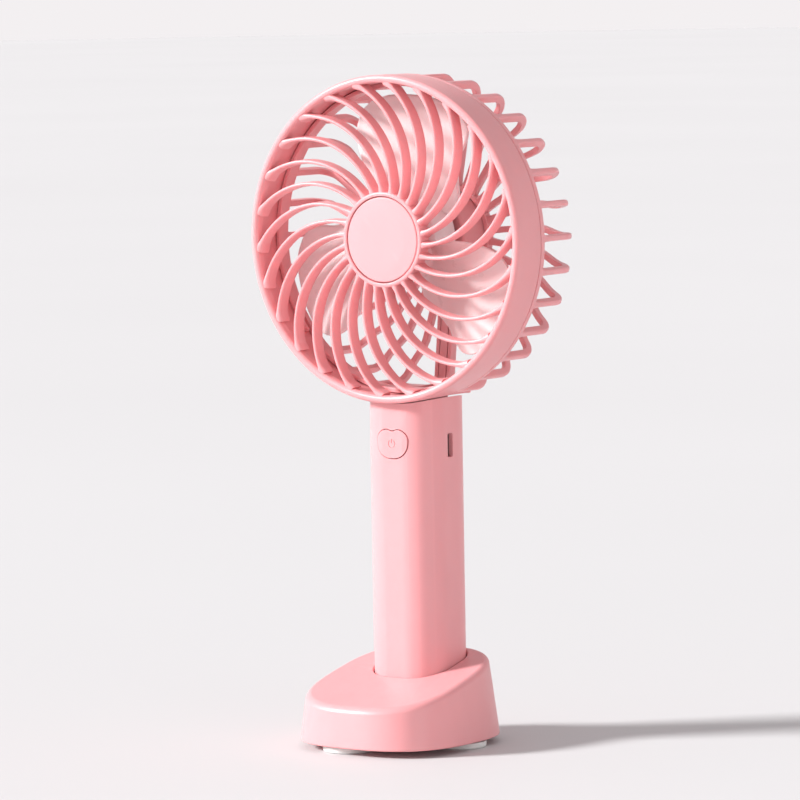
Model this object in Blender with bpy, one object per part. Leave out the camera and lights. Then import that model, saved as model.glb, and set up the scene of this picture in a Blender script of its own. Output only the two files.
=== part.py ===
"""Hand-held electric fan standing in its desk dock.

Metres, +Z up, -Y is the side the air comes out of. The origin is on the surface that the feet stand on,
under the middle of the whole object's outline. Three empties carry the work: handle_axis stands on the
handle's centre line, head_centre lies on the fan's own axis in the plane of the front face, and
dock_centre is the middle of the dock's soft-square footprint. Head pieces are drawn in head_centre's frame,
where Y is the depth behind the front face.
"""

import math

import bmesh
import bpy
from mathutils import Matrix, Vector

MM = 0.001
GAP = 0.3 * MM                     # clearance between pieces that touch

# Head
HEAD_R = 52.5 * MM                 # outside radius of the round head
HEAD_Z = 162.9 * MM                # height of the fan's axis
FACE_AHEAD = 17.5 * MM             # front face plane, ahead of the handle's centre line
HEAD_DEPTH = 41.0 * MM             # front face to the back of the hub cap
RIM_WALL = 2.2 * MM
RIM_DEPTH = 13.2 * MM              # depth of the front cover's rim
FLANGE_BACK = 15.6 * MM            # back of the rear cover's flange

# Front grille
FRONT_RIBS = 26
RIB_ARC_R = 28.8 * MM              # each front rib is one arc of this radius
RIB_ARC_TURN = math.radians(85.7)
RIB_LEAN = math.radians(8.0)       # the arc leaves the hub this far off radial
RIB_PHASE = math.radians(8.3)
HUB_R = 15.0 * MM
RIB_FRONT = 0.4 * MM
RIB_BACK = 4.8 * MM
BADGE_R = 13.6 * MM

# Rear grille
REAR_PITCH = math.radians(12)       # the bars stand at this pitch, less the two where the duct runs
BAR_PHASE = math.radians(0.5)
BAR_WIDE = 2.0 * MM
BAR_DEEP = 2.6 * MM
BAR_R = 51.0 * MM                  # radius of the bars' centre line along the side of the head
CORNER_R = 5.5 * MM
CORNER_START = 28.5 * MM
DOME_TOP = 38.0 * MM               # depth of the dome's centre line on the axis
DOME_BEND = 1.7                    # depth lost per square metre of radius
BAR_TWIST = math.radians(4.0)
CUP_R = 14.8 * MM
CUP_BORE_R = 12.6 * MM
CUP_FRONT = 24.6 * MM
CUP_BACK = 39.2 * MM
RING_IN = 15.1 * MM                 # the rear cover's hub ring, which the motor cup is welded into
RING_OUT = 16.6 * MM
RING_FRONT = 35.8 * MM
STRIP_END = 29 * MM                 # the duct cover ends at this depth, beside the handle
DUCT_HALF = 3.0 * MM               # half width of the lead duct between the cup and the handle

# Bayonet between front cover and rear cover
LUG_ANGLES = [math.radians(a) for a in (90, 210, 330)]
LUG_HALF = math.radians(2.3)
UNLOCK_TURN = math.radians(12)
SPIGOT_IN = 48.6 * MM
SPIGOT_OUT = 50.0 * MM
SPIGOT_FRONT = 10.6 * MM

# Impeller and motor
BLADES = 3
BLADE_PHASE = math.radians(118)
BLADE_SPAN = math.radians(82)
BLADE_FRONT = 8.8 * MM
BLADE_RISE = 11.8 * MM
BLADE_THICK = 1.2 * MM
IMPELLER_HUB_R = 13.2 * MM
MOTOR_R = 12.2 * MM
MOTOR_FRONT = 26.5 * MM
MOTOR_BACK = 37.6 * MM
SHAFT_R = 1.0 * MM
SCREW_X = 6.5 * MM                 # motor screws, either side of the shaft

# Handle
HANDLE_HALF = 13.6 * MM            # half width of the rounded square section
HANDLE_ROUND = 10.5 * MM
SLEEVE_WALL = 1.6 * MM
HANDLE_BOTTOM = 6.5 * MM
CAP_PLATE = 1.8 * MM
BUTTON_Z = 97.3 * MM
BUTTON_WIDE = 11.6 * MM
BUTTON_TALL = 9.4 * MM
BUTTON_PROUD = 0.25 * MM
PORT_Z = 96.3 * MM
PORT_Y = -0.6 * MM
PORT_TALL = 7.7 * MM
PORT_WIDE = 2.8 * MM
BATTERY_R = 9.15 * MM
BATTERY_LONG = 65.0 * MM
BATTERY_BOTTOM = 15.0 * MM
SPINE_FRONT = 9.5 * MM
SPINE_BACK = 11.0 * MM
SPINE_HALF = 6.2 * MM
SHELF_R = 10.2 * MM
BOARD_FRONT = -3.8 * MM
BOARD_BACK = -2.2 * MM
POST_X = 4.2 * MM
POST_Z = 87.0 * MM
NECK_SCREW_Z = 103.0 * MM
LEAD_R = 0.5 * MM

# Dock
DOCK_HALF_X = 29.0 * MM            # the footprint is a superellipse of this half width,
DOCK_HALF_Y = 30.2 * MM            # this half length
DOCK_POWER = 2.7                   # and this power
DOCK_AHEAD = 11.7 * MM             # footprint centre, ahead of the handle's centre line
DOCK_BOTTOM = 2.3 * MM
DOCK_TAPER = 0.13                  # reach lost per unit of height
DOCK_FRONT_TALL = 13.0 * MM
DOCK_BACK_TALL = 26.8 * MM
DOCK_WALL = 2.2 * MM
SOCKET_FLOOR = 6.2 * MM
SOCKET_UNDER = 4.7 * MM
PLATE_BOTTOM = 2.6 * MM
PLATE_TOP = 4.4 * MM
FOOT_R = 8.2 * MM
FOOT_OUT = 21.0 * MM
FOOT_TALL = 2.0 * MM
DOCK_SCREWS = [(22.5 * MM, 205), (22.5 * MM, 335), (9.0 * MM, 270)]

# The origin halves the object's depth: dock front to hub cap back.
HANDLE_Y = (DOCK_AHEAD + DOCK_HALF_Y + FACE_AHEAD - HEAD_DEPTH) / 2

PINK = ("pink_plastic", (0.83, 0.52, 0.55), 0.42, 0.0)
PALE = ("pale_plastic", (0.90, 0.72, 0.73), 0.35, 0.0)
WHITE = ("white_nylon", (0.85, 0.85, 0.82), 0.5, 0.0)
BLACK = ("black_plastic", (0.03, 0.03, 0.03), 0.5, 0.0)
STEEL = ("plated_steel", (0.62, 0.62, 0.63), 0.3, 1.0)
BRASS = ("sintered_bronze", (0.6, 0.42, 0.22), 0.45, 1.0)
CORE = ("dark_core", (0.12, 0.10, 0.10), 0.55, 0.6)
BOARD = ("green_board", (0.02, 0.20, 0.08), 0.45, 0.0)
WRAP = ("blue_wrap", (0.04, 0.16, 0.45), 0.35, 0.0)
RED = ("red_lead", (0.6, 0.03, 0.02), 0.4, 0.0)
SILICONE = ("grey_silicone", (0.72, 0.71, 0.69), 0.6, 0.0)


# ---------------------------------------------------------------- helpers

def clear_scene():
    for item in list(bpy.data.objects):
        bpy.data.objects.remove(item, do_unlink=True)


def finish_of(look):
    """The Principled material of one (name, colour, roughness, metallic) look."""
    name, colour, roughness, metallic = look
    made = bpy.data.materials.get(name)
    if made is None:
        made = bpy.data.materials.new(name)
        made.use_nodes = True
        shader = made.node_tree.nodes["Principled BSDF"]
        shader.inputs["Base Color"].default_value = (*colour, 1.0)
        shader.inputs["Roughness"].default_value = roughness
        shader.inputs["Metallic"].default_value = metallic
    return made


def empty(name, location, parent=None):
    made = bpy.data.objects.new(name, None)
    made.empty_display_size = 0.01
    made.parent = parent
    made.location = location
    bpy.context.collection.objects.link(made)
    return made


def piece(name, bm, parent, look, location=(0, 0, 0), sharp=35):
    """Turns a bmesh into a named, smooth-shaded object with its finish."""
    bmesh.ops.remove_doubles(bm, verts=bm.verts, dist=1e-6)
    bmesh.ops.recalc_face_normals(bm, faces=bm.faces)
    mesh = bpy.data.meshes.new(name)
    bm.to_mesh(mesh)
    bm.free()
    mesh.shade_smooth()
    mesh.set_sharp_from_angle(angle=math.radians(sharp))
    mesh.materials.append(finish_of(look))
    made = bpy.data.objects.new(name, mesh)
    made.parent = parent
    made.location = location
    bpy.context.collection.objects.link(made)
    return made


def helper(name, bm, parent, location=(0, 0, 0)):
    """A cutter or guide: kept in the file, left out of the render."""
    made = piece(name, bm, parent, STEEL, location)
    made.hide_render = True
    made.display_type = "WIRE"
    return made


def combine(target, other, operation):
    change = target.modifiers.new(operation.lower() + "_" + other.name, "BOOLEAN")
    change.object = other
    change.operation = operation
    change.solver = "EXACT"


def cut(target, *cutters):
    for cutter in cutters:
        combine(target, cutter, "DIFFERENCE")


def turned(profile, steps, axis="Z"):
    """A closed solid of revolution from (radius, height) points, height running along the axis.

    A profile that starts and ends on the axis is spun without those points and gets flat round caps.
    """
    bm = bmesh.new()
    capped = profile[0][0] == 0
    if capped:
        profile = profile[1:-1]
    points = [bm.verts.new((radius, 0, height)) for radius, height in profile]
    edges = [bm.edges.new(pair) for pair in zip(points, points[1:])]
    if not capped:
        edges.append(bm.edges.new((points[-1], points[0])))
    bmesh.ops.spin(
        bm, geom=points + edges, cent=(0, 0, 0), axis=(0, 0, 1),
        angle=2 * math.pi, steps=steps, use_merge=True,
    )
    bmesh.ops.remove_doubles(bm, verts=bm.verts, dist=1e-6)
    if capped:
        bmesh.ops.holes_fill(bm, edges=[edge for edge in bm.edges if edge.is_boundary], sides=0)
    if axis == "Y":
        bmesh.ops.rotate(bm, verts=bm.verts, matrix=Matrix.Rotation(-math.pi / 2, 3, "X"))
    if axis == "X":
        bmesh.ops.rotate(bm, verts=bm.verts, matrix=Matrix.Rotation(math.pi / 2, 3, "Y"))
    return bm


def rod(radius, low, high, steps=16, axis="Z"):
    return turned([(0, low), (radius, low), (radius, high), (0, high)], steps, axis)


def tube(outer, inner, low, high, steps=24, axis="Z"):
    return turned([(inner, low), (outer, low), (outer, high), (inner, high)], steps, axis)


def loft(rings, bm=None):
    """A solid through a row of point rings that all have the same number of points."""
    bm = bm or bmesh.new()
    loops = [[bm.verts.new(point) for point in ring] for ring in rings]
    count = len(rings[0])
    for low, high in zip(loops, loops[1:]):
        for i in range(count):
            j = (i + 1) % count
            bm.faces.new((low[i], low[j], high[j], high[i]))
    bm.faces.new(loops[0][::-1])
    bm.faces.new(loops[-1])
    return bm


def box(low, high, bm=None):
    (x0, y0, z0), (x1, y1, z1) = low, high
    base = [(x0, y0), (x1, y0), (x1, y1), (x0, y1)]
    return loft([[(x, y, z) for x, y in base] for z in (z0, z1)], bm)


def rounded_square(half, corner, steps=8):
    """Outline of a square of the given half width with round corners, anticlockwise."""
    points = []
    for quarter in range(4):
        turn = quarter * math.pi / 2
        middle = Vector((half - corner, half - corner)) @ Matrix.Rotation(-turn, 2)
        for i in range(steps + 1):
            angle = turn + i * math.pi / 2 / steps
            points.append((
                middle.x + corner * math.cos(angle),
                middle.y + corner * math.sin(angle),
            ))
    return points


def prism(outline, low, high):
    return loft([[(x, y, z) for x, y in outline] for z in (low, high)])


def polar(radius, angle, depth):
    """A point of the head: angle runs anticlockwise from +X as seen from the front."""
    return Vector((radius * math.cos(angle), depth, radius * math.sin(angle)))


def sector(inner, outer, start, end, low, high, steps=6):
    """Block between two radii, two angles and two depths, in the head's frame."""
    rings = []
    for i in range(steps + 1):
        angle = start + (end - start) * i / steps
        rings.append([
            polar(inner, angle, low), polar(outer, angle, low),
            polar(outer, angle, high), polar(inner, angle, high),
        ])
    return loft(rings)


# ---------------------------------------------------------------- head

def front_rib(bm, start_angle, steps=8):
    """One curved rib, from inside the hub's wall to inside the rim's wall."""
    heading = start_angle + RIB_LEAN
    start = Vector((math.cos(start_angle), math.sin(start_angle))) * HUB_R
    centre = start + RIB_ARC_R * Vector((-math.sin(heading), math.cos(heading)))
    early, late = math.radians(1.2), math.radians(2.0)
    rings = []
    for i in range(steps + 1):
        turn = -early + (RIB_ARC_TURN + early + late) * i / steps
        out = Vector((math.sin(heading + turn), -math.cos(heading + turn)))
        ring = []
        for side, depth in ((-0.5, RIB_FRONT), (0.5, RIB_FRONT), (0.72, RIB_BACK), (-0.72, RIB_BACK)):
            flat = centre + out * (RIB_ARC_R + side * MM)
            ring.append((flat.x, depth, flat.y))
        rings.append(ring)
    loft(rings, bm)


def make_front_cover(head):
    """Rim, curved ribs and hub ring, moulded in one; three lugs lock it to the rear cover."""
    inner = HEAD_R - RIM_WALL
    rim = turned([
        (inner - 0.3 * MM, 1.1 * MM), (50.5 * MM, 0.3 * MM), (51.3 * MM, 0), (52.1 * MM, 0.35 * MM),
        (HEAD_R, 1.2 * MM), (HEAD_R, RIM_DEPTH), (inner, RIM_DEPTH),
    ], 72, "Y")
    cover = piece("front_cover", rim, head, PINK)
    hub = turned([
        (0, 1.75 * MM), (13.9 * MM, 1.75 * MM), (13.9 * MM, 0.45 * MM), (14.15 * MM, 0.15 * MM),
        (14.8 * MM, 0.15 * MM), (15.3 * MM, 0.6 * MM), (15.3 * MM, 4.6 * MM), (14.0 * MM, 4.6 * MM),
        (14.0 * MM, 3.2 * MM), (0, 3.2 * MM),
    ], 36, "Y")
    ribs = bmesh.new()
    for i in range(FRONT_RIBS):
        front_rib(ribs, RIB_PHASE + i * 2 * math.pi / FRONT_RIBS)
    combine(cover, helper("front_ribs_shape", ribs, head), "UNION")
    combine(cover, helper("front_hub_shape", hub, head), "UNION")
    for i, angle in enumerate(LUG_ANGLES):
        lug = sector(48.9 * MM, 51.2 * MM, angle - LUG_HALF, angle + LUG_HALF, 12.0 * MM, 13.0 * MM, 2)
        combine(cover, helper(f"lug_shape_{i + 1}", lug, head), "UNION")
    badge = turned([
        (0, 0.15 * MM), (13.2 * MM, 0.15 * MM), (BADGE_R, 0.5 * MM), (BADGE_R, 1.45 * MM), (0, 1.45 * MM),
    ], 36, "Y")
    piece("hub_badge", badge, head, PINK)


def dome_depth(radius):
    return DOME_TOP - DOME_BEND * radius * radius


def bar_path(inner_radius):
    """(radius, depth) of a rear bar's centre line, from the flange round the corner to the cup."""
    path = [(BAR_R, FLANGE_BACK - 1.0 * MM), (BAR_R, CORNER_START)]
    corner_end = BAR_R - CORNER_R
    for i in (1, 2, 3):
        angle = math.radians(84) * i / 3
        path.append((
            BAR_R - CORNER_R * (1 - math.cos(angle)),
            CORNER_START + (dome_depth(corner_end) - CORNER_START) * math.sin(angle),
        ))
    start = corner_end - 2.0 * MM
    for i in range(5):
        radius = start + (inner_radius - start) * i / 4
        path.append((radius, dome_depth(radius)))
    return path


def sweep_radial(bm, path, angle_of, section):
    """Sweeps a (width, height) section along a (radius, depth) path; height points out of the head."""
    rings = []
    for i, (radius, depth) in enumerate(path):
        before, after = path[max(i - 1, 0)], path[min(i + 1, len(path) - 1)]
        along = Vector((after[0] - before[0], after[1] - before[1])).normalized()
        out = Vector((along.y, -along.x))
        angle = angle_of(radius)
        side = Vector((-math.sin(angle), 0, math.cos(angle)))
        ring = []
        for width, height in section:
            ring.append(polar(radius + out.x * height, angle, depth + out.y * height) + side * width)
        rings.append(ring)
    loft(rings, bm)


def make_rear_cover(head):
    """Flange, bars, hub ring, lead duct, saddle and neck in one moulding, and the cup in its ring."""
    flange = turned([
        (SPIGOT_IN, SPIGOT_FRONT), (SPIGOT_OUT, SPIGOT_FRONT), (SPIGOT_OUT, RIM_DEPTH + GAP),
        (HEAD_R, RIM_DEPTH + GAP), (HEAD_R, FLANGE_BACK - 0.6 * MM), (HEAD_R - 0.6 * MM, FLANGE_BACK),
        (SPIGOT_IN, FLANGE_BACK),
    ], 72, "Y")
    cover = piece("rear_cover", flange, head, PINK)

    bars = bmesh.new()
    half_wide, half_deep = BAR_WIDE / 2, BAR_DEEP / 2
    section = [(-half_wide, -half_deep), (half_wide, -half_deep), (half_wide, half_deep), (-half_wide, half_deep)]
    down = 1.5 * math.pi
    for i in range(round(2 * math.pi / REAR_PITCH)):
        base = BAR_PHASE + i * REAR_PITCH
        if abs(base - down) < math.radians(10):
            continue

        def angle_of(radius, base=base):
            return base + BAR_TWIST * min(1, max(0, (BAR_R - 4 * MM - radius) / (12 * MM)))

        sweep_radial(bars, bar_path(RING_IN + 0.5 * MM), angle_of, section)
    combine(cover, helper("rear_bars_shape", bars, head), "UNION")

    ring = turned([
        (RING_IN, RING_FRONT), (RING_OUT, RING_FRONT), (RING_OUT, CUP_BACK), (RING_IN, CUP_BACK),
    ], 36, "Y")
    combine(cover, helper("hub_ring_shape", ring, head), "UNION")

    saddle = sector(50.2 * MM, 52.3 * MM, down - math.radians(14.7), down + math.radians(14.7),
                    FLANGE_BACK - 1.0 * MM, 31.0 * MM, 10)
    combine(cover, helper("saddle_shape", saddle, head), "UNION")

    duct = bmesh.new()
    inside, outside = -2.4 * MM, 1.4 * MM
    groove, floor = 1.7 * MM, 0.1 * MM
    duct_section = [
        (-DUCT_HALF, outside), (-DUCT_HALF, inside), (-groove, inside), (-groove, floor),
        (groove, floor), (groove, inside), (DUCT_HALF, inside), (DUCT_HALF, outside),
    ]
    duct_path = bar_path(RING_IN + 0.4 * MM)
    sweep_radial(duct, duct_path, lambda radius: down, duct_section)
    combine(cover, helper("lead_duct_shape", duct, head), "UNION")

    neck = box((-6.5 * MM, 2.0 * MM + FACE_AHEAD, 98.5 * MM - HEAD_Z),
               (6.5 * MM, 9.1 * MM + FACE_AHEAD, -51.2 * MM))
    combine(cover, helper("neck_shape", neck, head), "UNION")

    for i, angle in enumerate(LUG_ANGLES):
        slack = math.radians(0.6)
        opened = angle + UNLOCK_TURN
        along = sector(48.0 * MM, 50.12 * MM, angle - LUG_HALF - slack, opened + LUG_HALF + slack,
                       11.7 * MM, 13.3 * MM)
        entry = sector(48.1 * MM, 50.16 * MM, opened - LUG_HALF - slack, opened + LUG_HALF + slack,
                       9.9 * MM, 13.2 * MM)
        cut(cover, helper(f"lock_slot_{i + 1}", along, head), helper(f"entry_slot_{i + 1}", entry, head))
    wire_slot = box((-1.7 * MM, 3.8 * MM + FACE_AHEAD, 90 * MM - HEAD_Z),
                    (1.7 * MM, 7.4 * MM + FACE_AHEAD, -48 * MM))
    groove_run = box((-1.7 * MM, 7.2 * MM + FACE_AHEAD, -51.2 * MM), (1.7 * MM, 31.5 * MM, -46 * MM))
    ring_notch = box((-1.7 * MM, RING_FRONT - 1 * MM, -RING_OUT - GAP),
                     (1.7 * MM, 37.7 * MM, -RING_IN + 1 * MM))
    cut(cover, helper("wire_slot", wire_slot, head), helper("groove_run", groove_run, head),
        helper("ring_notch", ring_notch, head))

    cup_shape = turned([
        (4.2 * MM, CUP_FRONT), (CUP_R, CUP_FRONT), (CUP_R, CUP_BACK), (CUP_BORE_R, CUP_BACK),
        (CUP_BORE_R, CUP_FRONT + 1.6 * MM), (4.2 * MM, CUP_FRONT + 1.6 * MM),
    ], 36, "Y")
    cup = piece("motor_cup", cup_shape, head, PINK)
    cup_notch = box((-1.8 * MM, 36.0 * MM, -CUP_R - 0.1 * MM), (1.8 * MM, 42.0 * MM, -CUP_BORE_R + 0.6 * MM))
    cut(cup, helper("cup_notch", cup_notch, head))
    for side, x in (("left", -SCREW_X), ("right", SCREW_X)):
        hole = rod(1.1 * MM, CUP_FRONT - 1 * MM, CUP_FRONT + 3 * MM, 12, "Y")
        cut(cup, helper(f"motor_hole_{side}", hole, head, (x, 0, 0)))
    for side, x in (("left", -POST_X), ("right", POST_X)):
        hole = rod(1.1 * MM, -1 * MM, 12 * MM, 12, "Y")
        cut(cover, helper(f"neck_hole_{side}", hole, head, (x, FACE_AHEAD, NECK_SCREW_Z - HEAD_Z)))

    strip = bmesh.new()
    strip_path = [(radius, depth) for radius, depth in duct_path if radius > RING_OUT and depth > STRIP_END]
    strip_path.append((RING_OUT + GAP, dome_depth(RING_OUT + GAP)))
    strip_section = [(-1.4 * MM, -2.4 * MM), (1.4 * MM, -2.4 * MM), (1.4 * MM, -1.7 * MM), (-1.4 * MM, -1.7 * MM)]
    sweep_radial(strip, strip_path, lambda radius: down, strip_section)
    piece("duct_cover", strip, head, PINK)

    back = HEAD_DEPTH
    cap = turned([
        (0, 39.5 * MM), (11.3 * MM, 39.5 * MM), (11.3 * MM, 38.8 * MM), (12.3 * MM, 38.8 * MM),
        (12.3 * MM, 39.5 * MM), (14.8 * MM, 39.5 * MM), (14.8 * MM, 40.1 * MM), (14.0 * MM, 40.75 * MM),
        (12.0 * MM, back), (0, back),
    ], 36, "Y")
    hub_cap = piece("rear_hub_cap", cap, head, PINK)
    cap_notch = box((-1.8 * MM, 38.0 * MM, -12.8 * MM), (1.8 * MM, 39.4 * MM, -10.8 * MM))
    cut(hub_cap, helper("cap_notch", cap_notch, head))


def blade_edges(radius):
    """Leading and trailing angle of a blade at this radius, measured back from BLADE_PHASE."""
    shape = [
        (12.6, 0, 92), (20, -1, 82), (25, -1, 71), (31, 0.5, 64), (37, 3, 63), (42, 8, 60), (45, 14, 52),
        (46, 22, 44),
    ]
    for (r0, a0, b0), (r1, a1, b1) in zip(shape, shape[1:]):
        if radius <= r1 * MM:
            share = (radius / MM - r0) / (r1 - r0)
            return math.radians(a0 + (a1 - a0) * share), math.radians(b0 + (b1 - b0) * share)
    return math.radians(shape[-1][1]), math.radians(shape[-1][2])


def make_impeller(head):
    """Hub cup with its boss, and the broad screw-shaped blades."""
    hub = turned([
        (0, 9.2 * MM), (10.5 * MM, 9.2 * MM), (12.4 * MM, 9.9 * MM), (IMPELLER_HUB_R, 11.4 * MM),
        (IMPELLER_HUB_R, 22.4 * MM), (12.1 * MM, 22.4 * MM), (12.1 * MM, 11.8 * MM), (3.6 * MM, 11.8 * MM),
        (3.6 * MM, 21.5 * MM), (1.3 * MM, 21.5 * MM), (1.3 * MM, 10.8 * MM), (0, 10.8 * MM),
    ], 36, "Y")
    impeller = piece("impeller", hub, head, PALE)
    blades = bmesh.new()
    radii = [12.6, 18, 24, 30, 35, 39, 42.5, 45, 46]
    across = 7
    for i in range(BLADES):
        turn = BLADE_PHASE + i * 2 * math.pi / BLADES
        rings = []
        for radius in [r * MM for r in radii]:
            lead, trail = blade_edges(radius)
            ring = []
            for face, order in ((-0.5, range(across)), (0.5, range(across - 1, -1, -1))):
                for j in order:
                    back = lead + (trail - lead) * j / (across - 1)
                    depth = BLADE_FRONT + BLADE_RISE * back / BLADE_SPAN
                    ring.append(polar(radius, turn - back, depth + face * BLADE_THICK))
            rings.append(ring)
        loft(rings, blades)
    combine(impeller, helper("blades_shape", blades, head), "UNION")


def make_motor(head):
    """Small can motor behind the impeller, shaft forward."""
    can = turned([
        (1.9 * MM, 25.0 * MM), (3.1 * MM, 25.0 * MM), (3.1 * MM, MOTOR_FRONT), (MOTOR_R, MOTOR_FRONT),
        (MOTOR_R, MOTOR_BACK), (11.4 * MM, MOTOR_BACK), (11.4 * MM, 27.5 * MM), (1.9 * MM, 27.5 * MM),
    ], 32, "Y")
    motor_can = piece("motor_can", can, head, STEEL)
    for side, x in (("left", -SCREW_X), ("right", SCREW_X)):
        hole = rod(1.1 * MM, MOTOR_FRONT - 0.5 * MM, 28 * MM, 12, "Y")
        cut(motor_can, helper(f"can_hole_{side}", hole, head, (x, 0, 0)))
        screw = turned([
            (0, 23.4 * MM), (1.5 * MM, 23.4 * MM), (1.5 * MM, CUP_FRONT - GAP), (0.8 * MM, CUP_FRONT - GAP),
            (0.8 * MM, 27.8 * MM), (0, 27.8 * MM),
        ], 14, "Y")
        piece(f"motor_screw_{side}", screw, head, STEEL, (x, 0, 0))
    end_cap = turned([
        (1.9 * MM, 36.0 * MM), (11.1 * MM, 36.0 * MM), (11.1 * MM, MOTOR_BACK), (3.2 * MM, MOTOR_BACK),
        (3.2 * MM, 38.6 * MM), (1.9 * MM, 38.6 * MM),
    ], 28, "Y")
    piece("motor_end_cap", end_cap, head, WHITE)
    piece("motor_magnet", tube(11.1 * MM, 9.4 * MM, 28.2 * MM, 35.2 * MM, 28, "Y"), head, CORE)
    piece("front_bush", tube(1.65 * MM, 1.25 * MM, 25.2 * MM, 27.3 * MM, 16, "Y"), head, BRASS)
    piece("rear_bush", tube(1.65 * MM, 1.25 * MM, 36.2 * MM, 38.4 * MM, 16, "Y"), head, BRASS)
    piece("motor_shaft", rod(SHAFT_R, 11.1 * MM, 38.2 * MM, 16, "Y"), head, STEEL)
    poles = []
    for pole in range(3):
        middle = math.radians(90 + 120 * pole)
        for radius, spread in ((4.2, -46), (4.2, -24), (7.4, -24), (8.0, -48), (9.0, -50), (9.0, -25), (9.0, 0),
                               (9.0, 25), (9.0, 50), (8.0, 48), (7.4, 24), (4.2, 24)):
            angle = middle + math.radians(spread)
            poles.append((radius * MM * math.cos(angle), radius * MM * math.sin(angle)))
    rotor = prism(poles, -35.0 * MM, -28.4 * MM)
    bmesh.ops.rotate(rotor, verts=rotor.verts, matrix=Matrix.Rotation(math.pi / 2, 3, "X"))
    motor_rotor = piece("motor_rotor", rotor, head, CORE)
    cut(motor_rotor, helper("rotor_bore", rod(1.3 * MM, 27 * MM, 37 * MM, 16, "Y"), head))


# ---------------------------------------------------------------- leads

def smooth_route(points, spacing=2.4 * MM):
    """Points along one smooth curve through the given ones."""
    knots = [Vector(p) for p in points]
    knots = [2 * knots[0] - knots[1]] + knots + [2 * knots[-1] - knots[-2]]
    route = []
    for i in range(1, len(knots) - 2):
        a, b, c, d = knots[i - 1:i + 3]
        steps = max(1, round((c - b).length / spacing))
        for j in range(steps):
            t = j / steps
            route.append(0.5 * (2 * b + (c - a) * t + (2 * a - 5 * b + 4 * c - d) * t * t
                                + (3 * b - a - 3 * c + d) * t ** 3))
    route.append(knots[-2])
    return route


def lead(name, points, parent, look):
    route = smooth_route(points)
    curve = bpy.data.curves.new(name, "CURVE")
    curve.dimensions = "3D"
    curve.bevel_depth = LEAD_R
    curve.bevel_resolution = 2
    curve.use_fill_caps = True
    spline = curve.splines.new("POLY")
    spline.points.add(len(route) - 1)
    for knot, point in zip(spline.points, route):
        knot.co = (*point, 1)
    curve.materials.append(finish_of(look))
    made = bpy.data.objects.new(name, curve)
    made.parent = parent
    bpy.context.collection.objects.link(made)


def make_leads(handle):
    """Two motor leads down the duct and the neck, and two battery leads inside the handle."""
    for side, look in ((-1, BLACK), (1, RED)):
        x = 0.75 * MM * side
        points = [(3.0 * MM * side, 38.4, 6.0), (1.6 * MM * side, 38.4, 10.0), (x, 38.1, 12.6),
                  (x, 37.2, 14.2), (x, 36.75, 16.0)]
        for radius in (20, 26, 32, 38, 43):
            points.append((x, dome_depth(radius * MM) / MM - 0.8, radius))
        points += [(x, 33.7, 46.0), (x, 32.8, 48.1), (x, 30.9, 49.65), (x, 28.4, 50.2), (x, 25.6, 50.3),
                   (x, 24.0, 50.9), (x, 23.3, 52.3), (x, 23.1, 55.0), (x, 23.1, 58.0), (x, 23.0, 64.0),
                   (x, 21.0, 67.2), (x * 3, 16.6, 68.6)]
        route = [(px, depth * MM - FACE_AHEAD, HEAD_Z - radius * MM) for px, depth, radius in points]
        lead("motor_lead_red" if side > 0 else "motor_lead_black", route, handle, look)
    corner = 7.8 * MM
    for side, name, look, low in ((-1, "battery_lead_black", BLACK, 14.2 * MM), (1, "battery_lead_red", RED, 80.6 * MM)):
        x = corner * side
        route = [(x, -corner, low), (x, -corner, low + 1.6 * MM)]
        if side < 0:
            route += [(x, -corner, 30 * MM), (x, -corner, 50 * MM), (x, -corner, 70 * MM)]
        route += [(x, -corner, 83.5 * MM), (x * 0.8, -6.6 * MM, 87.0 * MM), (x * 0.75, -4.7 * MM, 90.5 * MM)]
        lead(name, route, handle, look)


# ---------------------------------------------------------------- handle

def button_outline(grow=0.0, steps=36):
    """Soft shield shape: two rounded shoulders with a shallow dip between them and a narrower foot."""
    points = []
    for i in range(steps):
        angle = math.pi / 2 + i * 2 * math.pi / steps
        c, s = math.cos(angle), math.sin(angle)
        reach = 1 / (abs(c) ** 2.4 + abs(s) ** 2.4) ** (1 / 2.4)
        x = reach * c * (BUTTON_WIDE / 2) * (1 + 0.10 * s)
        z = reach * s * (BUTTON_TALL / 2)
        z -= 0.75 * MM * math.exp(-(x / (1.5 * MM)) ** 2) * max(0, s)
        length = math.hypot(x, z)
        points.append((x * (1 + grow / length), z * (1 + grow / length)))
    return points


def facing_prism(outline, low, high):
    """Prism of an (x, z) outline between two y values."""
    return loft([[(x, y, z) for x, z in outline] for y in (low, high)])


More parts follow.
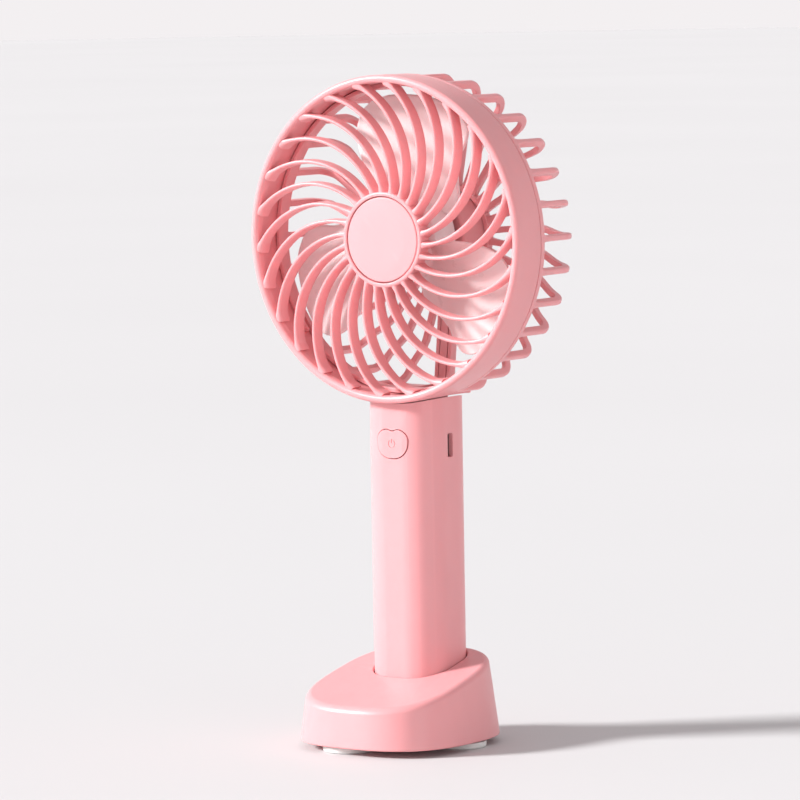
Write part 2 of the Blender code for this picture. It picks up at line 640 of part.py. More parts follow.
def make_sleeve(handle):
    """One-piece outer tube, its top scooped to the head's curve."""
    top = HEAD_Z - 44 * MM
    bottom = HANDLE_BOTTOM + CAP_PLATE + GAP
    sleeve = piece("handle_sleeve", prism(rounded_square(HANDLE_HALF, HANDLE_ROUND), bottom, top), handle, PINK)
    inner = HANDLE_HALF - SLEEVE_WALL
    hollow = helper("sleeve_hollow", prism(rounded_square(inner, HANDLE_ROUND - SLEEVE_WALL), 1 * MM, top + 1 * MM),
                    handle)
    head_at = (0, -FACE_AHEAD, HEAD_Z)
    roof = helper("roof_line", rod(HEAD_R + 2.1 * MM, -5 * MM, 45 * MM, 72, "Y"), handle, head_at)
    scoop = helper("scoop", rod(HEAD_R + GAP, -6 * MM, 46 * MM, 72, "Y"), handle, head_at)
    cut(hollow, roof)
    cut(sleeve, scoop, hollow)
    neck_way = box((-6.8 * MM, 1.7 * MM, 104 * MM), (6.8 * MM, 9.4 * MM, 114 * MM))
    port = box((11 * MM, PORT_Y - PORT_WIDE / 2, PORT_Z - PORT_TALL / 2),
               (15 * MM, PORT_Y + PORT_WIDE / 2, PORT_Z + PORT_TALL / 2))
    button_way = facing_prism(button_outline(GAP), -16 * MM, -9 * MM)
    cut(sleeve, helper("neck_way", neck_way, handle), helper("port_slot", port, handle),
        helper("button_way", button_way, handle, (0, 0, BUTTON_Z)))


def make_bottom_cap(handle):
    plate = loft([[(x, y, z) for x, y in rounded_square(HANDLE_HALF - edge, HANDLE_ROUND - edge)]
                  for z, edge in ((HANDLE_BOTTOM, 0.8 * MM), (HANDLE_BOTTOM + 0.8 * MM, 0),
                                  (HANDLE_BOTTOM + CAP_PLATE, 0))])
    cap = piece("handle_bottom_cap", plate, handle, PINK)
    inner = HANDLE_HALF - SLEEVE_WALL - GAP
    plug = prism(rounded_square(inner, HANDLE_ROUND - SLEEVE_WALL - GAP), HANDLE_BOTTOM + 0.5 * MM, 11.5 * MM)
    combine(cap, helper("cap_plug_shape", plug, handle), "UNION")
    cut(cap, helper("cap_screw_hole", rod(1.2 * MM, 5 * MM, 13 * MM, 16), handle),
        helper("cap_screw_sink", rod(2.2 * MM, 5 * MM, 8.8 * MM, 16), handle))
    screw = turned([
        (0, 7.3 * MM), (1.9 * MM, 7.3 * MM), (1.9 * MM, 8.5 * MM), (0.9 * MM, 8.5 * MM), (0.9 * MM, 14.2 * MM - 0.5 * MM),
        (0, 14.2 * MM - 0.5 * MM),
    ], 14)
    piece("cap_screw", screw, handle, STEEL)


def make_chassis(handle):
    """Spine with two shelves round the battery and two posts for the circuit board."""
    spine = box((-SPINE_HALF, SPINE_FRONT, 11.9 * MM), (SPINE_HALF, SPINE_BACK, 107 * MM))
    chassis = piece("handle_chassis", spine, handle, WHITE)
    for name, low, high in (("lower_shelf", 11.8 * MM, 13.6 * MM), ("upper_shelf", 81.2 * MM, 83.0 * MM)):
        combine(chassis, helper(f"{name}_shape", rod(SHELF_R, low, high, 32), handle), "UNION")
    for side, x in (("left", -POST_X), ("right", POST_X)):
        post = rod(1.8 * MM, BOARD_BACK + GAP, SPINE_FRONT + 0.5 * MM, 12, "Y")
        combine(chassis, helper(f"post_shape_{side}", post, handle, (x, 0, POST_Z)), "UNION")
        pilot = rod(1.0 * MM, -4 * MM, 5 * MM, 12, "Y")
        cut(chassis, helper(f"post_pilot_{side}", pilot, handle, (x, 0, POST_Z)))
        hole = rod(1.1 * MM, 8 * MM, 12 * MM, 12, "Y")
        cut(chassis, helper(f"spine_hole_{side}", hole, handle, (x, 0, NECK_SCREW_Z)))
        neck_screw = turned([
            (0, 0.7 * MM), (1.7 * MM, 0.7 * MM), (1.7 * MM, 1.7 * MM), (0.8 * MM, 1.7 * MM), (0.8 * MM, 10.8 * MM),
            (0, 10.8 * MM),
        ], 14, "Y")
        piece(f"neck_screw_{side}", neck_screw, handle, STEEL, (x, 0, NECK_SCREW_Z))
        board_screw = turned([
            (0, -5.0 * MM), (1.5 * MM, -5.0 * MM), (1.5 * MM, BOARD_FRONT - GAP), (0.7 * MM, BOARD_FRONT - GAP),
            (0.7 * MM, 3.5 * MM), (0, 3.5 * MM),
        ], 14, "Y")
        piece(f"board_screw_{side}", board_screw, handle, STEEL, (x, 0, POST_Z))
    cut(chassis, helper("shelf_pilot", rod(1.2 * MM, 11 * MM, 14 * MM, 16), handle))


def make_battery(handle):
    low, high = BATTERY_BOTTOM, BATTERY_BOTTOM + BATTERY_LONG
    cell = turned([
        (0, low), (BATTERY_R - 0.6 * MM, low), (BATTERY_R, low + 0.6 * MM), (BATTERY_R, high - 1.6 * MM),
        (BATTERY_R - 0.6 * MM, high - 1.0 * MM), (3.0 * MM, high - 1.0 * MM), (2.8 * MM, high), (0, high),
    ], 32)
    piece("battery_cell", cell, handle, WRAP)
    for name, z, side in (("battery_tab_bottom", 14.0 * MM, -1), ("battery_tab_top", 80.4 * MM, 1)):
        strip = box((-3.0 * MM, -10.0 * MM, z), (3.0 * MM, 6.0 * MM, z + 0.4 * MM))
        bmesh.ops.rotate(strip, verts=strip.verts, matrix=Matrix.Rotation(math.radians(45 * side), 3, "Z"))
        piece(name, strip, handle, STEEL)


def make_electronics(handle):
    board = box((-9.3 * MM, BOARD_FRONT, 84.5 * MM), (9.3 * MM, BOARD_BACK, 106.0 * MM))
    circuit_board = piece("circuit_board", board, handle, BOARD)
    for side, x in (("left", -POST_X), ("right", POST_X)):
        hole = rod(1.0 * MM, -6 * MM, 0, 12, "Y")
        cut(circuit_board, helper(f"board_hole_{side}", hole, handle, (x, 0, POST_Z)))

    mouth, rear = HANDLE_HALF - SLEEVE_WALL - GAP, 6.6 * MM
    shell_low, shell_high = PORT_Y - 1.3 * MM, PORT_Y + 1.3 * MM
    shell = box((rear, shell_low, PORT_Z - 3.7 * MM), (mouth, shell_high, PORT_Z + 3.7 * MM))
    usb_shell = piece("usb_socket", shell, handle, STEEL)
    hollow = box((rear + 0.4 * MM, shell_low + 0.35 * MM, PORT_Z - 3.35 * MM),
                 (mouth + 1 * MM, shell_high - 0.35 * MM, PORT_Z + 3.35 * MM))
    cut(usb_shell, helper("usb_hollow", hollow, handle))
    tongue = box((rear + 0.7 * MM, PORT_Y - 0.3 * MM, PORT_Z - 2.4 * MM),
                 (mouth - 0.8 * MM, PORT_Y + 0.3 * MM, PORT_Z + 2.4 * MM))
    piece("usb_tongue", tongue, handle, BLACK)

    switch_front = -7.6 * MM
    body = box((-3.0 * MM, switch_front, BUTTON_Z - 3.0 * MM), (3.0 * MM, BOARD_FRONT - GAP, BUTTON_Z + 3.0 * MM))
    switch = piece("tact_switch", body, handle, BLACK)
    well = rod(2.0 * MM, -9 * MM, -5.6 * MM, 16, "Y")
    cut(switch, helper("switch_well", well, handle, (0, 0, BUTTON_Z)))
    piece("switch_plunger", rod(1.7 * MM, -9.6 * MM, -6.5 * MM, 16, "Y"), handle, WHITE, (0, 0, BUTTON_Z))


def make_button(handle):
    """Push button in the sleeve's front: its face follows the sleeve, a flange keeps it in."""
    flange_front = -11.0 * MM
    button = piece("power_button", facing_prism(button_outline(), -16 * MM, flange_front), handle, PINK,
                   (0, 0, BUTTON_Z))
    face = prism(rounded_square(HANDLE_HALF + BUTTON_PROUD, HANDLE_ROUND + BUTTON_PROUD), -20 * MM, 20 * MM)
    combine(button, helper("button_face_shape", face, handle, (0, 0, BUTTON_Z)), "INTERSECT")
    flange = facing_prism(button_outline(0.7 * MM), flange_front - 0.02 * MM, -10.2 * MM)
    combine(button, helper("button_flange_shape", flange, handle, (0, 0, BUTTON_Z)), "UNION")
    stem = rod(1.6 * MM, -10.6 * MM, -9.9 * MM, 16, "Y")
    combine(button, helper("button_stem_shape", stem, handle, (0, 0, BUTTON_Z)), "UNION")


# ---------------------------------------------------------------- dock

def footprint(angle):
    """Reach of the footprint's edge from its centre in this direction."""
    across = (abs(math.cos(angle)) / DOCK_HALF_X) ** DOCK_POWER
    along = (abs(math.sin(angle)) / DOCK_HALF_Y) ** DOCK_POWER
    return (across + along) ** (-1 / DOCK_POWER)


def dock_outline(inset, drop, steps=64):
    """(x, y, z) ring where the tapered wall, moved in, meets the sloping top, moved down."""
    front = DOCK_HALF_Y - DOCK_TAPER * DOCK_FRONT_TALL
    back = DOCK_HALF_Y - DOCK_TAPER * DOCK_BACK_TALL
    slope = (DOCK_BACK_TALL - DOCK_FRONT_TALL) / (front + back)
    middle = DOCK_FRONT_TALL + slope * front - drop
    ring = []
    for i in range(steps):
        angle = i * 2 * math.pi / steps
        reach = (footprint(angle) - inset - DOCK_TAPER * middle) / (1 + DOCK_TAPER * slope * math.sin(angle))
        ring.append((
            reach * math.cos(angle), reach * math.sin(angle),
            DOCK_BOTTOM + middle + slope * reach * math.sin(angle),
        ))
    return ring


def level_outline(inset, z, steps=64):
    """(x, y, z) ring of the footprint, moved in, at one height."""
    ring = []
    for i in range(steps):
        angle = i * 2 * math.pi / steps
        reach = footprint(angle) - inset
        ring.append((reach * math.cos(angle), reach * math.sin(angle), z))
    return ring


def dock_screw_places():
    for radius, degrees in DOCK_SCREWS:
        yield radius * math.cos(math.radians(degrees)), radius * math.sin(math.radians(degrees))


def make_dock(dock):
    """Tapered soft-square shell with a sloping top, a socket for the handle and three screw posts."""
    outside = loft([level_outline(0.5 * MM, DOCK_BOTTOM), level_outline(0, DOCK_BOTTOM + 0.6 * MM),
                    dock_outline(0, 0)])
    body = piece("dock_body", outside, dock, PINK)
    hollow = helper("dock_hollow", loft([level_outline(DOCK_WALL, DOCK_BOTTOM - 1 * MM),
                                         dock_outline(DOCK_WALL, DOCK_WALL)]), dock)
    socket_walls = prism(rounded_square(HANDLE_HALF + 2.0 * MM, HANDLE_ROUND + 2.0 * MM), SOCKET_UNDER, 45 * MM)
    cut(hollow, helper("socket_walls", socket_walls, dock, (0, DOCK_AHEAD, 0)))
    for i, (x, y) in enumerate(dock_screw_places()):
        cut(hollow, helper(f"screw_post_{i + 1}", rod(2.8 * MM, SOCKET_UNDER, 45 * MM, 16), dock, (x, y, 0)))
    cut(body, hollow)
    socket = prism(rounded_square(HANDLE_HALF + GAP, HANDLE_ROUND + GAP), SOCKET_FLOOR, 50 * MM)
    cut(body, helper("socket_way", socket, dock, (0, DOCK_AHEAD, 0)))

    plate_inset = DOCK_WALL + 2 * GAP + DOCK_TAPER * (PLATE_TOP - DOCK_BOTTOM)
    plate_shape = loft([level_outline(plate_inset, PLATE_BOTTOM), level_outline(plate_inset, PLATE_TOP)])
    plate = piece("dock_base_plate", plate_shape, dock, PINK)
    for i, (x, y) in enumerate(dock_screw_places()):
        cut(body, helper(f"post_bore_{i + 1}", rod(1.3 * MM, 3 * MM, 10.6 * MM, 12), dock, (x, y, 0)))
        cut(plate, helper(f"plate_hole_{i + 1}", rod(1.4 * MM, 1 * MM, 6 * MM, 12), dock, (x, y, 0)),
            helper(f"plate_sink_{i + 1}", rod(2.7 * MM, 1 * MM, 3.7 * MM, 16), dock, (x, y, 0)))
        screw = turned([
            (0, 2.65 * MM), (2.3 * MM, 2.65 * MM), (2.3 * MM, 3.4 * MM), (1.0 * MM, 3.4 * MM), (1.0 * MM, 10.0 * MM),
            (0, 10.0 * MM),
        ], 14)
        piece(f"dock_screw_{i + 1}", screw, dock, STEEL, (x, y, 0))
    for name, degrees in (("front", 253), ("right", 13), ("left", 133)):
        foot = turned([
            (0, 0), (FOOT_R - 0.4 * MM, 0), (FOOT_R, 0.5 * MM), (FOOT_R, FOOT_TALL), (0, FOOT_TALL),
        ], 32)
        angle = math.radians(degrees)
        piece(f"foot_{name}", foot, dock, SILICONE, (FOOT_OUT * math.cos(angle), FOOT_OUT * math.sin(angle), 0))


def main():
    clear_scene()
    handle = empty("handle_axis", (0, HANDLE_Y, 0))
    head = empty("head_centre", (0, -FACE_AHEAD, HEAD_Z), handle)
    dock = empty("dock_centre", (0, -DOCK_AHEAD, 0), handle)
    make_front_cover(head)
    make_rear_cover(head)
    make_impeller(head)
    make_motor(head)
    make_leads(handle)
    make_sleeve(handle)
    make_bottom_cap(handle)
    make_chassis(handle)
    make_battery(handle)
    make_electronics(handle)
    make_button(handle)
    make_dock(dock)


main()
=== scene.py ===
"""Looks for the hand-held electric fan standing in its dock."""

import math

import bmesh
import bpy
from mathutils import Matrix, Vector


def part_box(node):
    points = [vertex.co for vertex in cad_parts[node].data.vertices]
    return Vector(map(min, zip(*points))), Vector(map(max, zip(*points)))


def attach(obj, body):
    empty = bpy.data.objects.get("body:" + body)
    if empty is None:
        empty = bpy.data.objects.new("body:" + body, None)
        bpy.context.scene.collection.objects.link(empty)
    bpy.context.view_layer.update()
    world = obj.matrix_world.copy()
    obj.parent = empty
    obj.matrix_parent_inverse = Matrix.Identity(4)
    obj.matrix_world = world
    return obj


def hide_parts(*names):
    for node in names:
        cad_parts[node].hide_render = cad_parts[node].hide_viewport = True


MM = 0.001
GAP = 0.3 * MM

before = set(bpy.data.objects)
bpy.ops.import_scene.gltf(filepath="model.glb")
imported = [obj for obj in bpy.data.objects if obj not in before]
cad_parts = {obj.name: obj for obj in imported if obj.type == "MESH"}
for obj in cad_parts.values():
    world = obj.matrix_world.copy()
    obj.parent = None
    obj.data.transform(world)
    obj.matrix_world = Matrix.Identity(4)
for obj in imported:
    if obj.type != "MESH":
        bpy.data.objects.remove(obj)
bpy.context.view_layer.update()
scene = bpy.context.scene


# ---------------------------------------------------------------- camera, light, measures from the CAD

CAMERA_AZIMUTH, CAMERA_ELEVATION, CAMERA_ROLL = 35.7, 5.11, -0.98
CAMERA_LENS = 225.8
CAMERA_AIM = Vector((0.0062, -0.0083, 0.1119))
CAMERA_DISTANCE = 1.6


def heading(azimuth, elevation):
    """Unit vector from the scene towards a place at this azimuth and elevation, in degrees."""
    azimuth, elevation = math.radians(azimuth), math.radians(elevation)
    return Vector((math.sin(azimuth) * math.cos(elevation), -math.cos(azimuth) * math.cos(elevation),
                   math.sin(elevation)))


def place_camera():
    azimuth, roll = math.radians(CAMERA_AZIMUTH), math.radians(CAMERA_ROLL)
    back = heading(CAMERA_AZIMUTH, CAMERA_ELEVATION)
    level = Vector((math.cos(azimuth), math.sin(azimuth), 0))
    above = back.cross(level)
    right = level * math.cos(roll) + above * math.sin(roll)
    up = above * math.cos(roll) - level * math.sin(roll)
    data = bpy.data.cameras.new("camera")
    data.sensor_width = 36
    data.lens = CAMERA_LENS
    data.clip_start = 0.01
    data.clip_end = 50
    made = bpy.data.objects.new("camera", data)
    spot = CAMERA_AIM + CAMERA_DISTANCE * back
    turn = Matrix((right, up, back)).transposed().to_4x4()
    made.matrix_world = Matrix.Translation(spot) @ turn
    scene.collection.objects.link(made)
    scene.camera = made


def add_light(name, kind, out, energy, colour):
    """A light that shines from the direction out. Returns the object, for its place and its size."""
    data = bpy.data.lights.new(name, kind)
    data.energy = energy
    data.color = colour
    made = bpy.data.objects.new(name, data)
    made.rotation_euler = out.to_track_quat("Z", "Y").to_euler()
    scene.collection.objects.link(made)
    return made


place_camera()
scene.view_settings.view_transform = "Standard"
scene.view_settings.look = "None"



def upright(node):
    """Where the node's vertical centre line meets the floor."""
    low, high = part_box(node)
    return Vector(((low.x + high.x) / 2, (low.y + high.y) / 2, 0))


HEAD_LOW, HEAD_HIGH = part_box("front_cover")
HEAD = Vector(((HEAD_LOW.x + HEAD_HIGH.x) / 2, HEAD_LOW.y, (HEAD_LOW.z + HEAD_HIGH.z) / 2))
HEAD_R = (HEAD_HIGH.x - HEAD_LOW.x) / 2
SLEEVE_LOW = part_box("handle_sleeve")[0]
HANDLE = upright("handle_sleeve")
DOCK = upright("dock_body")


# ---------------------------------------------------------------- materials

def nodes_of(name):
    made = bpy.data.materials.new(name)
    made.use_nodes = True
    tree = made.node_tree
    return made, tree, tree.nodes["Principled BSDF"]


def noise(tree, scale, detail=3.0, rough=0.55, stretch=None):
    place = tree.nodes.new("ShaderNodeTexCoord").outputs["Object"]
    if stretch:
        mapping = tree.nodes.new("ShaderNodeMapping")
        mapping.inputs["Scale"].default_value = stretch
        tree.links.new(place, mapping.inputs["Vector"])
        place = mapping.outputs["Vector"]
    made = tree.nodes.new("ShaderNodeTexNoise")
    made.inputs["Scale"].default_value = scale
    made.inputs["Detail"].default_value = detail
    made.inputs["Roughness"].default_value = rough
    tree.links.new(place, made.inputs["Vector"])
    return made.outputs["Fac"]


def ramp(tree, source, stops):
    made = tree.nodes.new("ShaderNodeValToRGB")
    first, last = made.color_ramp.elements
    first.position, first.color = stops[0][0], (*stops[0][1], 1)
    last.position, last.color = stops[-1][0], (*stops[-1][1], 1)
    for place, colour in stops[1:-1]:
        made.color_ramp.elements.new(place).color = (*colour, 1)
    tree.links.new(source, made.inputs["Fac"])
    return made.outputs["Color"]


def spread(tree, source, low, high, start=0.3, end=0.7):
    made = tree.nodes.new("ShaderNodeMapRange")
    for key, value in (("From Min", start), ("From Max", end), ("To Min", low), ("To Max", high)):
        made.inputs[key].default_value = value
    tree.links.new(source, made.inputs["Value"])
    return made.outputs["Result"]


def bump(tree, shader, layers):
    """Chains bumps of (height source, strength, distance in metres)."""
    below = None
    for source, strength, distance in layers:
        made = tree.nodes.new("ShaderNodeBump")
        made.inputs["Strength"].default_value = strength
        made.inputs["Distance"].default_value = distance
        tree.links.new(source, made.inputs["Height"])
        if below:
            tree.links.new(below, made.inputs["Normal"])
        below = made.outputs["Normal"]
    tree.links.new(below, shader.inputs["Normal"])


def shade(colour, factor):
    return tuple(min(1.0, c * factor) for c in colour)


def let_light_in(shader, weight, radius, depth):
    shader.inputs["Subsurface Weight"].default_value = weight
    shader.inputs["Subsurface Radius"].default_value = radius
    shader.inputs["Subsurface Scale"].default_value = depth


def plastic(name, colour, rough, through=0.0, depth=0.0012):
    """Moulded plastic: flow marks in the colour, uneven gloss, a spark-eroded grain, and sharp edges
    painted paler as a highlight.
    """
    made, tree, shader = nodes_of(name)
    flow = noise(tree, 38, 3, 0.6, (1, 1, 0.35))
    base = ramp(tree, flow, [(0.3, shade(colour, 0.965)), (0.7, shade(colour, 1.03))])
    # Pointiness mixes sharp convex edges towards a lighter tone: a painted highlight where edges catch the
    # light.
    edge = tree.nodes.new("ShaderNodeNewGeometry").outputs["Pointiness"]
    edge_highlight = spread(tree, edge, 0.0, 0.35, 0.52, 0.62)
    mix = tree.nodes.new("ShaderNodeMix")
    mix.data_type = "RGBA"
    tree.links.new(edge_highlight, mix.inputs["Factor"])
    tree.links.new(base, mix.inputs[6])
    mix.inputs[7].default_value = (*shade(colour, 1.12), 1)
    tree.links.new(mix.outputs[2], shader.inputs["Base Color"])
    gloss = spread(tree, noise(tree, 160, 4), rough - 0.05, rough + 0.06)
    tree.links.new(gloss, shader.inputs["Roughness"])
    bump(tree, shader, [(noise(tree, 2600, 2), 0.12, 0.00004), (noise(tree, 55, 2), 0.05, 0.0002)])
    shader.inputs["IOR"].default_value = 1.47
    if through:
        let_light_in(shader, through, (1.0, 0.32, 0.30), depth)
    return made


def metal(name, colour, rough, stretch=(1, 1, 1), tarnish=0.85):
    """Plated or turned metal: drawn streaks, and tarnish that dulls both colour and gloss in patches."""
    made, tree, shader = nodes_of(name)
    patch = noise(tree, 320, 4)
    base = ramp(tree, patch, [(0.3, shade(colour, tarnish)), (0.65, colour)])
    tree.links.new(base, shader.inputs["Base Color"])
    shader.inputs["Metallic"].default_value = 1.0
    tree.links.new(spread(tree, patch, rough + 0.14, rough), shader.inputs["Roughness"])
    bump(tree, shader, [(noise(tree, 4200, 2, 0.5, stretch), 0.12, 0.00002)])
    return made


def rubbery(name, colour, rough, through=0.0):
    """Soft plastic or rubber: a cloudy colour, uneven gloss and a fine skin."""
    made, tree, shader = nodes_of(name)
    base = ramp(tree, noise(tree, 90, 3), [(0.3, shade(colour, 0.9)), (0.7, colour)])
    tree.links.new(base, shader.inputs["Base Color"])
    gloss = spread(tree, noise(tree, 700, 3), rough - 0.08, rough + 0.08)
    tree.links.new(gloss, shader.inputs["Roughness"])
    bump(tree, shader, [(noise(tree, 1500, 3), 0.2, 0.00005)])
    if through:
        let_light_in(shader, through, (1.0, 0.9, 0.85), 0.002)
    return made


def board_finish():
    """Solder mask over copper: darker ground, raised tracks on a square lay-out."""
    made, tree, shader = nodes_of("board_mask")
    brick = tree.nodes.new("ShaderNodeTexBrick")
    turn = tree.nodes.new("ShaderNodeMapping")
    turn.inputs["Rotation"].default_value = (math.radians(90), 0, 0)
    tree.links.new(tree.nodes.new("ShaderNodeTexCoord").outputs["Object"], turn.inputs["Vector"])
    tree.links.new(turn.outputs["Vector"], brick.inputs["Vector"])
    brick.inputs["Scale"].default_value = 260
    brick.inputs["Mortar Size"].default_value = 0.06
    brick.inputs["Color1"].default_value = (0.012, 0.13, 0.045, 1)
    brick.inputs["Color2"].default_value = (0.016, 0.16, 0.055, 1)
    brick.inputs["Mortar"].default_value = (0.05, 0.30, 0.10, 1)
    tree.links.new(brick.outputs["Color"], shader.inputs["Base Color"])
    tree.links.new(spread(tree, noise(tree, 400, 3), 0.28, 0.42), shader.inputs["Roughness"])
    bump(tree, shader, [(brick.outputs["Fac"], 0.4, 0.00004), (noise(tree, 2500, 2), 0.1, 0.00002)])
    return made


PINK_TONE = (0.80, 0.345, 0.36)
PINK = plastic("pink_plastic", PINK_TONE, 0.38, 0.22)
GRILLE = plastic("grille_plastic", PINK_TONE, 0.34, 0.35, 0.0016)
BADGE = plastic("badge_plastic", (0.78, 0.35, 0.368), 0.46, 0.15)
PALE = plastic("impeller_plastic", (0.86, 0.75, 0.75), 0.30, 0.3, 0.0015)
WHITE = plastic("white_nylon", (0.78, 0.77, 0.73), 0.48, 0.15)
BLACK = plastic("black_plastic", (0.03, 0.03, 0.033), 0.42)
STEEL = metal("plated_steel", (0.62, 0.62, 0.64), 0.24)
BRONZE = metal("sintered_bronze", (0.48, 0.31, 0.15), 0.46, tarnish=0.6)
CORE = metal("iron_core", (0.16, 0.14, 0.13), 0.5, (1, 12, 1), 0.6)
SILICONE = rubbery("milky_silicone", (0.78, 0.77, 0.75), 0.5, 0.5)
RED_LEAD = rubbery("red_insulation", (0.55, 0.03, 0.02), 0.38)
BLACK_LEAD = rubbery("black_insulation", (0.025, 0.025, 0.027), 0.4)
WRAP = rubbery("cell_film", (0.04, 0.15, 0.46), 0.3)
MASK = board_finish()


# ---------------------------------------------------------------- shape helpers

def fillet(points, radius, steps=5, closed=True):
    """The polygon with its corners turned into arcs. Radius is one number, or one for each corner."""
    count = len(points)
    radii = radius if isinstance(radius, (list, tuple)) else [radius] * count
    made = []
    for i in range(count):
        here = Vector(points[i])
        if radii[i] <= 0 or (not closed and i in (0, count - 1)):
            made.append(tuple(here))
            continue
        before, after = Vector(points[i - 1]) - here, Vector(points[(i + 1) % count]) - here
        half = before.angle(after) / 2
        reach = min(radii[i] / math.tan(half), 0.48 * before.length, 0.48 * after.length)
        before, after = before.normalized(), after.normalized()
        size = reach * math.tan(half)
        middle = here + (before + after).normalized() * (size / math.sin(half))
        start, end = here + before * reach - middle, here + after * reach - middle
        whole = start.angle(end)
        for j in range(steps + 1):
            t = j / steps
            spoke = (start * math.sin((1 - t) * whole) + end * math.sin(t * whole)) / math.sin(whole)
            made.append(tuple(middle + spoke))
    return made


def revolve(profile, steps, axis="Z"):
    """Closed solid of revolution from a (radius, height) polygon that is closed or ends on the axis."""
    bm = bmesh.new()
    on_axis = profile[0][0] == 0
    rings = []
    for radius, height in profile:
        count = 1 if radius == 0 else steps
        ring = []
        for i in range(count):
            a = 2 * math.pi * i / steps
            flat = (radius * math.cos(a), radius * math.sin(a))
            ring.append(bm.verts.new((flat[0], height, flat[1]) if axis == "Y" else (*flat, height)))
        rings.append(ring)
    pairs = list(zip(rings, rings[1:]))
    if not on_axis:
        pairs.append((rings[-1], rings[0]))
    for low, high in pairs:
        for i in range(steps):
            j = (i + 1) % steps
            corners = [low[i % len(low)], low[j % len(low)], high[j % len(high)], high[i % len(high)]]
            bm.faces.new(list(dict.fromkeys(corners)))
    return bm


def loft(rings, bm=None):
    """Closed tube through rings of points, with flat caps."""
    bm = bm or bmesh.new()
    made = [[bm.verts.new(point) for point in ring] for ring in rings]
    for low, high in zip(made, made[1:]):
        for i in range(len(low)):
            j = (i + 1) % len(low)
            bm.faces.new((low[i], low[j], high[j], high[i]))
    bm.faces.new(made[0])
    bm.faces.new(made[-1])
    return bm


def box(low, high):
    corners = [(low[0], low[1]), (high[0], low[1]), (high[0], high[1]), (low[0], high[1])]
    return loft([[(x, y, z) for x, y in corners] for z in (low[2], high[2])])


def rounded_square(half, corner, steps=20):
    points = []
    for quarter in range(4):
        turn = quarter * math.pi / 2
        centre = Matrix.Rotation(turn, 2) @ Vector((half - corner, half - corner))
        for i in range(steps + 1):
            a = turn + i * math.pi / 2 / steps
            points.append((centre.x + corner * math.cos(a), centre.y + corner * math.sin(a)))
    return points


def prism(outline, low, high):
    return loft([[(x, y, z) for x, y in outline] for z in (low, high)])


def polar(radius, angle, depth):
    return Vector((radius * math.cos(angle), depth, radius * math.sin(angle)))


def sector(inner, outer, start, end, low, high, steps=12):
    """Part of a ring round the head's axis, between two depths."""
    corners = ((inner, low), (outer, low), (outer, high), (inner, high))
    rings = []
    for i in range(steps + 1):
        a = start + (end - start) * i / steps
        rings.append([polar(r, a, d) for r, d in corners])
    return loft(rings)


def drill(radius, start, end, steps=32, axis="Z"):
    """A round rod, to cut a hole with or to stand as a post."""
    return revolve([(0, start), (radius, start), (radius, end), (0, end)], steps, axis)


def made_object(name, bm, place):
    bmesh.ops.remove_doubles(bm, verts=bm.verts, dist=1e-7)
    bmesh.ops.recalc_face_normals(bm, faces=bm.faces)
    bmesh.ops.translate(bm, verts=bm.verts, vec=place)
    mesh = bpy.data.meshes.new(name)
    bm.to_mesh(mesh)
    bm.free()
    made = bpy.data.objects.new(name, mesh)
    scene.collection.objects.link(made)
    return made


def bmesh_of(source):
    """The object's mesh as a bmesh; the object itself is removed."""
    bm = bmesh.new()
    bm.from_mesh(source.data)
    bpy.data.objects.remove(source, do_unlink=True)
    return bm


def combine(target, bm, operation, place):
    """Applies one Boolean between the object and a bmesh."""
    other = made_object("tool", bm, place)
    modifier = target.modifiers.new("combine", "BOOLEAN")
    modifier.solver = "MANIFOLD"
    modifier.operation = operation
    modifier.object = other
    settle(target)
    bpy.data.objects.remove(other, do_unlink=True)


def settle(target):
    """Applies the object's modifiers to its mesh."""
    graph = bpy.context.evaluated_depsgraph_get()
    mesh = bpy.data.meshes.new_from_object(target.evaluated_get(graph))
    target.modifiers.clear()
    target.data = mesh


def soften(target, width, segments=2, limit=38):
    """Rounds the sharp edges."""
    modifier = target.modifiers.new("soften", "BEVEL")
    modifier.width = width
    modifier.segments = segments
    modifier.limit_method = "ANGLE"
    modifier.angle_limit = math.radians(limit)
    modifier.use_clamp_overlap = True
    modifier.loop_slide = True
    settle(target)


def finish(target, material, body, nodes, sharp=32):
    """Shades the piece, gives it its material and ties it to the frame."""
    target.data.materials.clear()
    target.data.materials.append(material)
    target.data.shade_smooth()
    target.data.set_sharp_from_angle(angle=math.radians(sharp))
    modifier = target.modifiers.new("even_shading", "WEIGHTED_NORMAL")
    modifier.keep_sharp = True
    modifier.weight = 60
    settle(target)
    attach(target, body)
    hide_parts(*nodes)
    return target


# ---------------------------------------------------------------- front grille

RIM_IN = 49.9 * MM
RIM_WALL = 2.2 * MM
RIM_BACK = 13.2 * MM
HUB_R = 15.0 * MM
RIBS = 26
RIB_ARC_R = 28.8 * MM
RIB_TURN = math.radians(85.7)
RIB_LEAN = math.radians(8.0)
RIB_PHASE = math.radians(8.3)
RIB_HALF = 0.56
RIB_FRONT = 0.42
RIB_BACK = 4.8 * MM
BADGE_R = 13.6 * MM
LUG_ANGLES = (90, 210, 330)
LUG_HALF = math.radians(2.3)
LUG_TRAVEL = 12


def rib_section(half, front, back, steps=5):
    """(side, depth) outline of a rib: round nose, sides that spread slightly towards the back."""
    outline = [(-half, front), (half, front), (half * 1.3, back), (-half * 1.3, back)]
    return fillet(outline, [half * 0.95, half * 0.95, 0.25 * MM, 0.25 * MM], steps)


